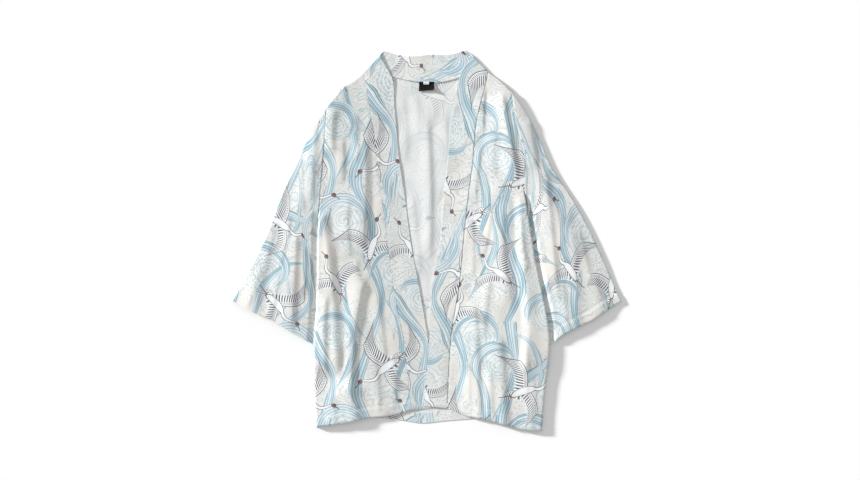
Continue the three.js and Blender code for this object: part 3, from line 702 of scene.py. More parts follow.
# Faces of a closed thin shell on both sides of a grid, and round its rims
def shellFaces(rows, columns, ring):
    spans = np.arange(columns if ring else columns - 1)
    j, i = np.meshgrid(np.arange(rows - 1), spans, indexing="ij")
    nextI = (i + 1) % columns
    a, b, c, d = j * columns + i, j * columns + nextI, (j + 1) * columns + nextI, (j + 1) * columns + i
    shift = rows * columns
    outer = np.stack([a, d, c, b], axis=-1).reshape(-1, 4)
    inner = np.stack([a, b, c, d], axis=-1).reshape(-1, 4) + shift
    following = (spans + 1) % columns
    last = (rows - 1) * columns
    edges = [(spans, following), (last + following, last + spans)]
    if not ring:
        down = np.arange(rows - 1) * columns
        end = down + columns - 1
        edges += [(down + columns, down), (end, end + columns)]
    rims = [np.stack([p, q, q + shift, p + shift], axis=-1) for p, q in edges]
    return outer, inner, np.vstack(rims)


outsides = {}  # each piece's outer side, on which its stitches lie


# A piece of cloth: flat is its grid as cut, and slots are the materials of its outer side, inner side and rim
def thinShell(name, grid, flat, thickness, ring=False, slots=(0, 1, 0)):
    rows, columns = grid.shape[:2]
    normal = normalsOf(grid, ring)
    outward = grid - grid.mean(axis=1, keepdims=True) if ring else np.array([0.0, 0.0, 1.0])
    if (normal * outward).sum() < 0:
        normal = -normal
    outer, inner, rims = shellFaces(rows, columns, ring)
    outsides[name] = grid + normal * thickness / 2
    points = np.vstack([outsides[name].reshape(-1, 3), (grid - normal * thickness / 2).reshape(-1, 3)])
    faces = np.vstack([outer, inner, rims])
    p = points[faces]
    volume = np.einsum("ij,ij->i", p[:, 0], np.cross(p[:, 1], p[:, 2]) + np.cross(p[:, 2], p[:, 3])).sum()
    if volume < 0:
        faces = faces[:, ::-1]
    mesh = bpy.data.meshes.new(name)
    mesh.from_pydata(((points + originShift) * mm).tolist(), [], faces.tolist())
    kinds = np.concatenate([np.full(len(part), slot) for part, slot in zip((outer, inner, rims), slots)])
    mesh.polygons.foreach_set("material_index", kinds.astype(np.int32))
    mesh.polygons.foreach_set("use_smooth", np.ones(len(faces), bool))
    piece = addObject(name, mesh)
    layPrint(mesh, np.tile(flat.reshape(-1, 2), (2, 1))[faces])
    mesh.set_sharp_from_angle(angle=math.radians(50))
    mesh.update()
    return piece


# ---- the print: a repeat of streams, whirls and cranes, in millimetres of cloth
repeat = np.array([340.0, 420.0])
# each stream: points of its middle line, and its half width at each
longStreams = [
    ([(40, 0), (66, 60), (44, 140), (22, 220), (50, 320), (40, 420)], [15, 18, 11, 16, 10, 15]),
    ([(150, 420), (126, 340), (152, 250), (192, 180), (178, 90), (150, 0)], [11, 16, 18, 10, 14, 11]),
    ([(262, 420), (290, 330), (266, 240), (238, 150), (268, 70), (262, 0)], [16, 10, 14, 18, 11, 16]),
    ([(158, 262), (118, 214), (98, 150), (112, 80), (104, 30)], [1, 8, 12, 8, 0.5]),
    ([(286, 345), (322, 300), (334, 230), (318, 160), (330, 100)], [1, 9, 13, 8, 0.5]),
    ([(44, 400), (86, 372), (104, 318), (92, 262)], [0.5, 8, 10, 0.5]),
    ([(262, 250), (226, 300), (214, 350), (228, 400)], [0.5, 9, 10, 0.5]),
    ([(0, 214), (30, 262), (66, 300), (112, 334), (150, 392)], [0.5, 9, 12, 9, 0.5]),
    ([(196, 150), (228, 204), (232, 262), (200, 318)], [0.5, 10, 10, 0.5]),
    ([(296, 40), (330, 92), (352, 150), (345, 215)], [0.5, 9, 11, 0.5]),
    ([(110, 60), (142, 100), (150, 150), (128, 196)], [0.5, 8, 8, 0.5]),
]
# each whirl: middle, radius, the angles between which its crest runs, half width of the crest
whirls = [
    (86, 180, 40, 205, -30, 15),
    (216, 68, 44, 215, -10, 17),
    (318, 386, 42, 190, -25, 15),
    (200, 262, 36, 150, -60, 13),
    (18, 330, 38, 230, 20, 13),
    (120, 12, 36, 200, -20, 13),
]
# each crane: middle, size, turn in degrees, 1 or -1 for the way that it faces, wing pose from 0 to 3
cranes = [
    (74, 282, 62, 15, 1, 0),
    (196, 372, 56, -60, -1, 1),
    (296, 196, 64, 40, -1, 0),
    (142, 130, 60, -20, 1, 2),
    (272, 22, 58, 70, 1, 1),
    (20, 96, 54, -35, -1, 3),
]


def streamSamples(streams):
    rows = []
    for points, halves in streams:
        curve = curveThrough(points)
        count = int(curve["length"] / 2)
        share = np.linspace(0, 1, count)
        middle = pointAt(curve, share)
        ahead = np.gradient(middle, axis=0)
        ahead /= np.linalg.norm(ahead, axis=1)[:, None]
        half = np.interp(share, np.linspace(0, 1, len(halves)), halves)
        slope = np.gradient(half) / np.gradient(share * curve["length"])
        rows.append(np.column_stack([middle, ahead, half, slope, share * curve["length"] + 1000 * len(rows)]))
    return np.vstack(rows)


def whirlCrests():
    made = []
    for x, y, radius, first, last, half in whirls:
        angles = np.radians(np.linspace(first, last, 9))
        drift = np.linspace(1.25, 0.9, 9)
        points = [(x + radius * d * math.cos(a), y + radius * d * math.sin(a)) for a, d in zip(angles, drift)]
        made.append((points, [0.5, half * 0.7, half, half, half, half, half * 0.8, half * 0.5, 0.5]))
    return made


def wrapped(gap):
    return (gap + repeat / 2) % repeat - repeat / 2


# For each small cell of the repeat, the sample that is closest as a share of the sample's own reach
def nearestTable(places, reach, cell=2.0):
    counts = (repeat / cell).astype(int)
    gx, gy = np.meshgrid(np.arange(counts[0]), np.arange(counts[1]), indexing="ij")
    cells = (np.stack([gx, gy], axis=-1).reshape(-1, 2) + 0.5) * cell
    found = np.zeros(len(cells), int)
    for low in range(0, len(cells), 2000):
        part = cells[low:low + 2000]
        gap = wrapped(part[:, None] - places[None])
        found[low:low + 2000] = np.argmin(np.hypot(gap[..., 0], gap[..., 1]) / reach[None], axis=1)
    return found.reshape(counts), cell


def pick(table, corners):
    found, cell = table
    middle = corners.mean(axis=1) % repeat
    index = np.minimum((middle / cell).astype(int), np.array(found.shape) - 1)
    return found[index[:, 0], index[:, 1]]


streamSets = {}
for mapName, streams in (("streams", longStreams), ("crests", whirlCrests())):
    samples = streamSamples(streams)
    streamSets[mapName] = (samples, nearestTable(samples[:, :2], np.maximum(samples[:, 4], 1.0)))
whirlRows = np.array(whirls, float)
whirlTable = nearestTable(whirlRows[:, :2], whirlRows[:, 2])
craneRows = np.array(cranes, float)
craneTable = nearestTable(craneRows[:, :2], craneRows[:, 2])
poseStep = 8.0  # a crane's wing pose is added to its first coordinate in steps of this


def addMap(mesh, name, values):
    layer = mesh.uv_layers.new(name=name, do_init=False)
    layer.data.foreach_set("uv", np.ascontiguousarray(values, dtype=np.float32).ravel())


# Writes, for each face corner, its place on the cloth and beside the nearest stream, whirl and crane
def layPrint(mesh, corners):
    addMap(mesh, "cloth", corners * mm)
    for mapName, (samples, table) in streamSets.items():
        row = samples[pick(table, corners)]
        gap = wrapped(corners - row[:, None, :2])
        along = np.einsum("ijk,ik->ij", gap, row[:, 2:4])
        across = gap[..., 0] * -row[:, None, 3] + gap[..., 1] * row[:, None, 2]
        half = np.maximum(row[:, None, 4] + row[:, None, 5] * along, 0.4)
        addMap(mesh, mapName, np.dstack([across / half, (row[:, None, 6] + along) * mm * 10]))
    row = whirlRows[pick(whirlTable, corners)]
    addMap(mesh, "whirls", wrapped(corners - row[:, None, :2]) / row[:, None, 2:3])
    row = craneRows[pick(craneTable, corners)]
    gap = wrapped(corners - row[:, None, :2])
    turn = np.radians(row[:, 3])[:, None]
    first = (gap[..., 0] * np.cos(turn) + gap[..., 1] * np.sin(turn)) / row[:, None, 2] * row[:, None, 4]
    second = (gap[..., 1] * np.cos(turn) - gap[..., 0] * np.sin(turn)) / row[:, None, 2]
    near = np.hypot(first, second).max(axis=1) < 2.2
    first = np.where(near[:, None], first, 3.0)
    addMap(mesh, "cranes", np.dstack([first + poseStep * row[:, None, 5], second]))


# ---- materials
def colour(text):
    channels = [int(text[i:i + 2], 16) / 255 for i in (1, 3, 5)]
    return [c / 12.92 if c <= 0.04045 else ((c + 0.055) / 1.055) ** 2.4 for c in channels] + [1.0]


def fillSockets(tree, node, values):
    for socket, value in values.items():
        value = value.socket if isinstance(value, Amount) else value
        if isinstance(value, bpy.types.NodeSocket):
            tree.links.new(value, node.inputs[socket])
        else:
            node.inputs[socket].default_value = value


def addNode(tree, kind, links=None, **settings):
    node = tree.nodes.new(kind)
    for name, value in settings.items():
        setattr(node, name, value)
    fillSockets(tree, node, links or {})
    return node


# A number in a node tree, so that plain arithmetic makes the Math nodes
class Amount:
    def __init__(self, tree, socket):
        self.tree, self.socket = tree, socket

    def math(self, operation, *others):
        links = {0: self.socket, **{i + 1: other for i, other in enumerate(others)}}
        return Amount(self.tree, addNode(self.tree, "ShaderNodeMath", links, operation=operation).outputs[0])

    def __add__(self, other):
        return self.math("ADD", other)

    def __sub__(self, other):
        return self.math("SUBTRACT", other)

    def __mul__(self, other):
        return self.math("MULTIPLY", other)

    def __truediv__(self, other):
        return self.math("DIVIDE", other)

    def within(self, low, high):
        links = {"Value": self.socket, "From Min": low, "From Max": high}
        node = addNode(self.tree, "ShaderNodeMapRange", links, interpolation_type="SMOOTHSTEP")
        return Amount(self.tree, node.outputs["Result"])

    def flip(self):
        return self.math("MULTIPLY_ADD", -1.0, 1.0)

    # 0 midway between two whole numbers, 0.5 on one of them
    def fromHalf(self):
        return (self.math("FRACT") - 0.5).math("ABSOLUTE")


def amounts(tree, node):
    return [Amount(tree, output) for output in node.outputs]


# A piece's map of that name, and its two coordinates
def mapParts(tree, name):
    place = addNode(tree, "ShaderNodeUVMap", uv_map=name).outputs[0]
    return place, *amounts(tree, addNode(tree, "ShaderNodeSeparateXYZ", {0: place}))[:2]


# Lays coats of colour on a ground, each with how much of it covers
def layCoats(tree, ground, coats):
    for coat, amount in coats:
        mixed = addNode(tree, "ShaderNodeMix", {0: amount, 6: ground, 7: coat}, data_type="RGBA")
        ground = mixed.outputs[2]
    return ground


def newTree(name, kind, inputs, outputs):
    tree = bpy.data.node_groups.new(name, kind)
    for way, sockets in (("INPUT", inputs), ("OUTPUT", outputs)):
        for socket, value in sockets.items():
            tree.interface.new_socket(socket, in_out=way, socket_type="NodeSocket" + value)
    return tree, addNode(tree, "NodeGroupInput").outputs


def newMaterial(name):
    material = bpy.data.materials.new(name)
    material.use_nodes = True
    return material, material.node_tree, material.node_tree.nodes["Principled BSDF"]


inks = {
    "ground": colour("#dddedb"),
    "cream": colour("#dddad5"),
    "pale": colour("#c6d3d8"),
    "blue": colour("#a3bdc8"),
    "deep": colour("#6a919f"),
    "foam": colour("#98aeb2"),
    "white": colour("#e8ebec"),
    "feather": colour("#29282e"),
    "lilac": colour("#c4bac9"),
    "crown": colour("#8a3537"),
}


# A wing or tail in its own space: x from 0 at its root to 1 at its tip, y back from its leading edge
def featherGroup():
    inputs = {"Place": "Vector", "Feathers": "Float", "Depth": "Float", "Arch": "Float"}
    outputs = {"Ink": "Float", "Cover": "Float"}
    tree, source = newTree("feathers", "ShaderNodeTree", inputs, outputs)
    x, y, _ = amounts(tree, addNode(tree, "ShaderNodeSeparateXYZ", {0: source["Place"]}))
    feathers, depth, arch = (Amount(tree, source[k]) for k in ("Feathers", "Depth", "Arch"))
    lead = (x * math.pi).math("SINE") * arch
    room = depth * (x.math("MULTIPLY_ADD", -0.30, 1.0))
    d = (y + lead) / room  # 0 at the leading edge, 1 at the trailing edge
    start = x - d * (x * 0.24 + 0.12)  # where a slanting feather leaves the leading edge
    fromRib = (start * feathers).fromHalf() * 2.0  # 1 on the line between two feathers
    scallop = d + (fromRib * fromRib) * 0.22
    inX = x.within(-0.02, 0.01) * start.within(0.74, 0.71)
    cover = inX * d.within(-0.03, 0.0) * scallop.within(1.12, 1.08)
    stroke = fromRib.within(0.40, 0.62) * d.within(0.30, 0.38)
    tip = fromRib.within(0.20, 0.45) * d.within(0.78, 0.92) * x.within(0.25, 0.55)
    second = (x * 1.25 + d * 0.10) * feathers
    short = second.fromHalf().within(0.22, 0.32) * d.within(0.10, 0.14) * d.within(0.33, 0.29)
    rim = d.math("ABSOLUTE").within(0.065, 0.030) + start.within(0.68, 0.71)
    ink = (stroke + tip * 0.7 + short * 0.85 + rim).math("MINIMUM", 1.0) * cover
    addNode(tree, "NodeGroupOutput", {"Ink": ink, "Cover": cover})
    return tree


# Each fan of feathers: name, root, turn, turn added with the pose, length, feathers, depth, arch, mirror
fans = [
    ("far wing", (0.10, -0.05), -98, 34, 1.08, 17, 0.36, 0.16, -1),
    ("tail", (-0.26, -0.02), 184, 0, 0.56, 7, 0.52, 0.28, 1),
    ("near wing", (0.04, 0.04), 102, -30, 1.28, 19, 0.38, 0.20, 1),
]


def craneGroup(feathers):
    inputs = {"Place": "Vector", "Pose": "Float"}
    outputs = {"Ink": "Float", "Cover": "Float", "Crown": "Float"}
    tree, source = newTree("flying crane", "ShaderNodeTree", inputs, outputs)
    x, y, _ = amounts(tree, addNode(tree, "ShaderNodeSeparateXYZ", {0: source["Place"]}))
    pose = Amount(tree, source["Pose"])
    parts = []  # the ink and the cover of each part, from the farthest to the nearest
    for name, root, turn, sway, length, count, depth, arch, mirror in fans:
        links = {0: source["Place"], 1: (*root, 0)}
        moved = addNode(tree, "ShaderNodeVectorMath", links, operation="SUBTRACT")
        angle = pose.math("MULTIPLY_ADD", -math.radians(sway), -math.radians(turn))
        links = {"Vector": moved.outputs[0], "Angle": angle}
        turned = addNode(tree, "ShaderNodeVectorRotate", links, rotation_type="Z_AXIS")
        links = {0: turned.outputs[0], 1: (1 / length, mirror / length, 1)}
        sized = addNode(tree, "ShaderNodeVectorMath", links, operation="MULTIPLY")
        links = {"Place": sized.outputs[0], "Feathers": count, "Depth": depth, "Arch": arch}
        parts.append(amounts(tree, addNode(tree, "ShaderNodeGroup", links, node_tree=feathers, label=name)))
    # body: a long drop, white with a thin line round it
    swell = x * 1.8 + 0.20
    girth = (y + x * x * 0.25) * 6.6
    body = (swell * swell + girth * girth).math("SQRT")
    bodyCover = body.within(0.86, 0.80)
    plumes = (x * 15.0 + y * 9.0).fromHalf().within(0.30, 0.42)
    plumes = plumes * body.within(0.25, 0.60) * x.within(0.08, -0.30) * 0.55
    # neck: half a wave from the breast, then the head, bill and crown
    nx = x - 0.22
    middle = (nx * 6.4).math("SINE") * -0.11 + nx * 0.16
    offLine = (y - middle).math("ABSOLUTE")
    neckSpan = nx.within(-0.02, 0.02) * nx.within(0.66, 0.63)
    neckHalf = nx.math("MULTIPLY_ADD", -0.060, 0.082)
    neck = offLine / neckHalf
    neckCover = neck.within(1.0, 0.85) * neckSpan
    neckInk = neck.within(0.50, 0.72) * neckCover
    neckInside = neck.within(0.62, 0.48) * neckSpan
    bodyInk = (body.within(0.70, 0.76) + plumes).math("MINIMUM", 1.0) * bodyCover * neckInside.flip()
    headX, headY = x - 0.87, y - 0.165
    head = (headX * headX + headY * headY * 1.5).math("SQRT")
    headCover = head.within(0.094, 0.082)
    crownX, crownY = x - 0.885, y - 0.200
    crown = (crownX * crownX + crownY * crownY).math("SQRT").within(0.050, 0.030)
    billLine = (y - 0.150 + (x - 0.93) * 0.25).math("ABSOLUTE")
    bill = billLine.within(0.020, 0.010) * x.within(0.92, 0.94) * x.within(1.13, 1.09)
    legLine = (y + 0.07 + (x + 0.3) * 0.10).math("ABSOLUTE")
    legs = legLine.within(0.018, 0.008) * x.within(-0.95, -0.92) * x.within(-0.30, -0.34)
    parts += [
        (legs, legs),
        (neckInk, neckCover),
        (bodyInk, bodyCover),
        (headCover * 0.95, headCover),
        (bill, bill),
    ]
    ink, cover = parts[0]
    for partInk, partCover in parts[1:]:
        ink = ink * partCover.flip() + partInk
        cover = cover.math("MAXIMUM", partCover)
    cover = cover.math("MAXIMUM", crown)
    addNode(tree, "NodeGroupOutput", {"Ink": ink, "Cover": cover, "Crown": crown})
    return tree


# The print's noises: scale over a metre of cloth, detail and distortion
printNoises = {
    "wide": (9.0, 2.0, 0.0),
    "wash": (42.0, 3.0, 0.0),
    "grain": (160.0, 2.0, 0.0),
    "curl": (26.0, 2.0, 0.8),
    "curlPatch": (12.0, 1.0, 0.0),
    "hair": (11.0, 1.0, 0.4),
    "hairPatch": (8.0, 1.0, 0.5),
    "waver": (14.0, 1.0, 0.0),
}


# Everything that the printer lays down, from the ground colour to the cranes
def printGroup():
    crane = craneGroup(featherGroup())
    tree, _ = newTree("stream and crane print", "ShaderNodeTree", {}, {"Colour": "Color"})
    cloth = mapParts(tree, "cloth")[0]
    noises = {}
    for name, (scale, detail, distortion) in printNoises.items():
        links = {"Vector": cloth, "Scale": scale, "Detail": detail, "Distortion": distortion}
        noises[name] = amounts(tree, addNode(tree, "ShaderNodeTexNoise", links, noise_dimensions="2D"))[0]
    wide, wash = noises["wide"], noises["wash"]

    # foam: curls made from the level lines of a noise, rings round the whirls, and dots
    _, wx, wy = mapParts(tree, "whirls")
    fromWhirl = (wx * wx + wy * wy).math("SQRT")
    swirl = (wy.math("ARCTAN2", wx) * 0.9 + fromWhirl * 17.0 + wash * 6.0) / math.pi
    rings = swirl.fromHalf().within(0.28, 0.42)
    curls = (noises["curl"] * 19.0).fromHalf().within(0.28, 0.42)
    hair = (noises["hair"] * 26.0).fromHalf().within(0.30, 0.44)
    inWhirl = fromWhirl.within(1.0, 0.78)
    curlPatch = noises["curlPatch"].within(0.47, 0.55)
    hairPatch = noises["hairPatch"].within(0.56, 0.46)
    dots = addNode(tree, "ShaderNodeTexVoronoi", {"Vector": cloth, "Scale": 150.0}, voronoi_dimensions="2D")
    dot = Amount(tree, dots.outputs["Distance"]).within(0.24, 0.14) * wide.within(0.58, 0.48)
    shade = layCoats(tree, inks["ground"], [
        (inks["cream"], wide.within(0.42, 0.62)),
        (inks["foam"], hair * hairPatch * 0.42),
        (inks["foam"], curls * curlPatch * 0.50),
        (inks["pale"], inWhirl * 0.35),
        (inks["foam"], rings * inWhirl * 0.62),
        (inks["white"], curls * inWhirl * wash.within(0.40, 0.55) * 0.8),
        (inks["foam"], dot * curlPatch.flip() * 0.7),
    ])

    # streams: strands side by side in a band, each with its own blue, a white gap and a thin dark line
    for name, strands in (("streams", 2.8), ("crests", 3.1)):
        _, across, along = mapParts(tree, name)
        bundle = (across + (wash - 0.5) * 0.12) * strands + noises["waver"] * 0.7
        strand = bundle.math("FLOOR")
        inStrand = bundle.math("FRACT")
        spot = addNode(tree, "ShaderNodeCombineXYZ", {0: strand * 3.7, 1: along * 0.8})
        links = {"Vector": spot.outputs[0], "Scale": 1.0, "Detail": 1.0}
        tone = amounts(tree, addNode(tree, "ShaderNodeTexNoise", links, noise_dimensions="2D"))[0]
        edge = across.math("ABSOLUTE")
        present = (tone - (edge - 0.55) * 0.8).within(0.36, 0.40) * edge.within(1.04, 0.98)
        line = (inStrand - 0.20).math("ABSOLUTE").within(0.17, 0.08)
        gap = (inStrand - 0.46).math("ABSOLUTE").within(0.13, 0.07)
        bank = edge.within(0.80, 0.87) * edge.within(1.0, 0.93)
        fill = layCoats(tree, inks["pale"], [
            (inks["blue"], tone.within(0.40, 0.56)),
            (inks["deep"], tone.within(0.52, 0.66) * (across * 0.3 + 0.55)),
            (inks["deep"], line * (tone * 0.8 + 0.40)),
            (inks["white"], gap * (tone * -0.9 + 1.2)),
            (inks["deep"], bank * 0.6),
        ])
        shade = layCoats(tree, shade, [(fill, present * (noises["grain"] * 0.25 + 0.84))])

    # cranes
    _, cx, cy = mapParts(tree, "cranes")
    pose = (cx / poseStep + 0.5).math("FLOOR")
    joined = addNode(tree, "ShaderNodeCombineXYZ", {0: cx - pose * poseStep, 1: cy})
    links = {"Place": joined.outputs[0], "Pose": pose / 3.0}
    ink, cover, crown = amounts(tree, addNode(tree, "ShaderNodeGroup", links, node_tree=crane))
    plumage = layCoats(tree, inks["white"], [(inks["lilac"], wash.within(0.55, 0.75) * 0.5)])
    coats = [(plumage, cover), (inks["feather"], ink * 0.88), (inks["crown"], crown)]
    addNode(tree, "NodeGroupOutput", {"Colour": layCoats(tree, shade, coats)})
    return tree


printTree = printGroup()

satin = {
    "roughness": 0.52,
    "sheen": 0.12,
    "specular": 0.35,
    "threadPitch": 0.9,  # millimetres, coarser than the cloth's 0.25 so that the weave can show
    "weaveDepth": 0.05,
    "weaveStrength": 0.5,
    "grainScale": 900.0,  # over a metre, about 1 mm apart
    "wrongSide": "#dadcdb",
    "wrongSideStrength": 0.38,
    "wrongSideDuller": 0.15,
}


# Polyester satin, printed on its face: a soft even sheen, and a fine diagonal from the weave.
# Its wrong side lets the print through as a pale grey ghost and is duller.
def printedSatin(name, wrongSide):
    material, tree, shader = newMaterial(name)
    printed = addNode(tree, "ShaderNodeGroup", node_tree=printTree).outputs[0]
    if wrongSide:
        grey = addNode(tree, "ShaderNodeHueSaturation", {"Saturation": 0.45, "Color": printed})
        printed = layCoats(tree, colour(satin["wrongSide"]), [(grey.outputs[0], satin["wrongSideStrength"])])
    cloth, u, v = mapParts(tree, "cloth")
    turns = 2 * math.pi / (satin["threadPitch"] * mm)
    twill = ((u + v * 0.5) * turns).math("SINE")
    threads = (v * turns).math("SINE")
    links = {"Vector": cloth, "Scale": satin["grainScale"], "Detail": 2.0}
    grain = amounts(tree, addNode(tree, "ShaderNodeTexNoise", links, noise_dimensions="2D"))[0]
    height = twill * 0.4 + threads * 0.3 + grain * 0.6
    links = {"Height": height, "Distance": satin["weaveDepth"] * mm, "Strength": satin["weaveStrength"]}
    fillSockets(tree, shader, {
        "Base Color": printed,
        "Roughness": satin["roughness"] + (satin["wrongSideDuller"] if wrongSide else 0.0),
        "Sheen Weight": satin["sheen"],
        "Specular IOR Level": satin["specular"],
        "Normal": addNode(tree, "ShaderNodeBump", links).outputs[0],
    })
    return material


faceSatin = printedSatin("printed polyester satin", False)
wrongSatin = printedSatin("printed polyester satin, wrong side", True)
print("print and cloth materials are made")

# ---- the sewn panels
# Where each panel was cut from the printed roll: shift in millimetres, turn in degrees
cuts = {
    "front_right": (40, 30, 0),
    "front_left": (215, 160, 0),
    "back": (120, 260, 0),
    "sleeve_right": (60, 90, 4),
    "sleeve_left": (190, 330, -5),
    "collar_band": (150, 40, 0),
}


def onRoll(name, flat):
    shiftX, shiftY, degrees = cuts[name]
    c, s = math.cos(math.radians(degrees)), math.sin(math.radians(degrees))
    x, y = flat[..., 0], flat[..., 1]
    return np.stack([c * x - s * y + shiftX, s * x + c * y + shiftY], axis=-1)


made = {}
hemDepths = {}  # for each hemmed panel, the distance from its hem over its grid, and the columns to sew
for name, side in (("front_right", right), ("front_left", left)):
    grid, fromHem = frontSurface(side)
    hemDepths[name] = (fromHem, slice(1, -6))
    made[name] = thinShell(name + "_cloth", grid, onRoll(name, grid[..., :2]), layers["skin"])
    print(name, "is laid")

grid, fromHem = backSurface()
hemDepths["back"] = (fromHem, slice(2, -2))
made["back"] = thinShell("back_cloth", grid, onRoll("back", grid[..., :2]), layers["skin"], slots=(1, 0, 0))
# the turned hem shows the cloth's face, so the last rows of the upper side do too
backMesh = made["back"].data
faceHem = (fromHem[:-1, :-1] < layers["hem"]).ravel()
indices = np.zeros(len(backMesh.polygons), np.int32)
backMesh.polygons.foreach_get("material_index", indices)
indices[:len(faceHem)] = np.where(faceHem, 0, indices[:len(faceHem)])
backMesh.polygons.foreach_set("material_index", indices)
print("back is laid")

for name, side in (("sleeve_right", right), ("sleeve_left", left)):
    ring, flat = sleeveSurface(side)
    # the flat tube's upper half comes first in the ring
    hemDepths[name] = (flat[..., 1], slice(2, ring.shape[1] // 2 - 1))
    made[name] = thinShell(name + "_cloth", ring, onRoll(name, flat), layers["skin"], ring=True)
    print(name, "is laid")

grid, walked = bandSurface()
flat = np.dstack(np.meshgrid(np.linspace(0, collarBand["width"], grid.shape[1]), walked))
flat = onRoll("collar_band", flat)
made["collar_band"] = thinShell("collar_band_cloth", grid, flat, collarBand["thickness"], slots=(0, 0, 0))
print("collar band is laid")

# ---- the neck label and the size tab on its top edge, both caught in the neck seam
neckLabel = {
    "left": -15.2,
    "top": 318.0,
    "size": (30.0, 18.8),
    "lowest": 1.5,
    "overSeam": 1.2,  # how much higher it lies on the band
    "curl": 6.4,  # how far its free right corner has risen
    "lean": 0.7,  # how far its lower edge lies to the left
    "shortRight": 2.2,  # how much shorter the curl makes its right side seem
    "thickness": 0.45,
}
# a tape folded in two, its fold at the bottom
sizeTab = {
    "left": -6.8,
    "top": 318.2,
    "size": (11.2, 5.6),
    "thickness": 0.3,
    "foldRadius": 0.28,
    "dome": 0.35,
    "above": 0.08,  # its gap to the label
}


def labelHeight(x, y):
    u = np.clip((x - neckLabel["left"]) / neckLabel["size"][0], 0, 1)
    v = np.clip((neckLabel["top"] - y) / neckLabel["size"][1], 0, 1)
    curl = neckLabel["curl"] * (0.16 + 0.84 * u ** 1.5) * v ** 1.8
    onBand = neckLabel["overSeam"] * (1 - smooth(0.08, 0.36, v))
    return neckLabel["lowest"] + onBand + curl + 0.35 * v * np.sin(u * 7.0)


def labelSurface():
    width, height = neckLabel["size"]
    u, v = np.meshgrid(np.linspace(0, 1, 31), np.linspace(0, 1, 20))
    x = neckLabel["left"] + u * width - neckLabel["lean"] * v
    y = neckLabel["top"] - v * (height - neckLabel["shortRight"] * u)
    return np.dstack([x, y, labelHeight(x, y)]), np.dstack([u * width, v * height])


def tabSurface():
    width, height = sizeTab["size"]
    radius = sizeTab["foldRadius"]
    straight = np.linspace(0, 1, 9)
    turn = np.radians(np.linspace(90, -90, 9))[1:-1]
    down = np.concatenate([straight, np.ones(7), straight[::-1]])  # share of the height
    above = np.concatenate([np.ones(9), np.sin(turn), -np.ones(9)])[:, None]
    beyond = np.concatenate([np.zeros(9), np.cos(turn), np.zeros(9)])
    u = np.linspace(0, 1, 15)[None]
    x = np.repeat(sizeTab["left"] + u * width, len(down), axis=0)
    y = sizeTab["top"] - (down * (height - radius) + beyond * radius)[:, None] + 0 * x
    low = labelHeight(x, y) + (neckLabel["thickness"] + sizeTab["thickness"]) / 2 + sizeTab["above"]
    dome = sizeTab["dome"] * np.sin(down[:, None] * math.pi) * (0.7 + 0.3 * np.sin(u * 9.0))
    z = low + radius * (1 + above) + np.where(above > 0, dome, 0)
    walked = np.concatenate([[0], np.cumsum(np.hypot(np.diff(y[:, 0]), np.diff(z[:, 0])))])
    return np.dstack([x, y, z]), np.dstack([x, np.repeat(walked[:, None], x.shape[1], axis=1)])


# Woven tape: fine ribs across it that break up the light, and paler patches from wear; the ribs' tops are
# also painted paler, a painted highlight
def wovenTape(name, base, wornAndRibLit, roughness, sheen, ribPitch):
    material, tree, shader = newMaterial(name)
    cloth, u, v = mapParts(tree, "cloth")
    ribs = (v * (2 * math.pi / (ribPitch * mm))).math("SINE")
    warp = (u * (2 * math.pi / (ribPitch * 1.6 * mm))).math("SINE")
    links = {"Vector": cloth, "Scale": 260.0, "Detail": 3.0}
    rubbed = amounts(tree, addNode(tree, "ShaderNodeTexNoise", links, noise_dimensions="2D"))[0]
    # paler patches from wear, plus a painted highlight on the tops of the ribs
    wearAndRibHighlight = rubbed.within(0.52, 0.72) * 0.6 + ribs * 0.12
    links = {"Height": ribs + warp * 0.5, "Distance": 0.06 * mm, "Strength": 0.7}
    fillSockets(tree, shader, {
        "Base Color": layCoats(tree, colour(base), [(colour(wornAndRibLit), wearAndRibHighlight)]),
        "Roughness": roughness,
        "Sheen Weight": sheen,
        "Specular IOR Level": 0.15,
        "Normal": addNode(tree, "ShaderNodeBump", links).outputs[0],
    })
    return material


blackSatin = wovenTape("woven satin label, black", "#040405", "#0c0c0d", 0.6, 0.0, 0.6)
whiteTape = wovenTape("woven cotton tape, white", "#ecedec", "#d9dad9", 0.75, 0.1, 0.7)

grid, flat = labelSurface()
made["neck_label"] = thinShell("neck_label_cloth", grid, flat, neckLabel["thickness"], slots=(0, 0, 0))
grid, flat = tabSurface()
made["size_tab"] = thinShell("size_tab_cloth", grid, flat, sizeTab["thickness"], slots=(0, 0, 0))
print("neck label and size tab are laid")

# ---- the hems' stitches, one row on each panel
sewing = {
    "fromEdge": 20.0,  # as deep as the turned hems
    "stitch": 2.7,
    "gap": 0.7,
    "thread": 0.45,  # coarser than the real 0.3, so that it can show
    "raised": 0.05,
    "smallest": (0.90, 0.85, 0.85),  # no two stitches are quite alike
    "largest": (1.04, 1.10, 1.10),
    "seed": 7,
}


# Spun polyester thread: matt, its two plies a faint rope in the light, painted into its colour as paler and
# darker bands of painted shade
def sewingThread():
    material, tree, shader = newMaterial("spun polyester thread")
    place = addNode(tree, "ShaderNodeTexCoord").outputs["Object"]
    x, y, _ = amounts(tree, addNode(tree, "ShaderNodeSeparateXYZ", {0: place}))
    # painted shade: the twist's lit and shaded sides as two tones of one thread colour
    pliesShade = ((x + y) * (2 * math.pi / (0.5 * mm))).math("SINE").within(-1.0, 1.0)
    twistShaded = layCoats(tree, colour("#cfd2d2"), [(colour("#e4e5e4"), pliesShade)])
    fillSockets(tree, shader, {"Base Color": twistShaded, "Roughness": 0.7})
    return material


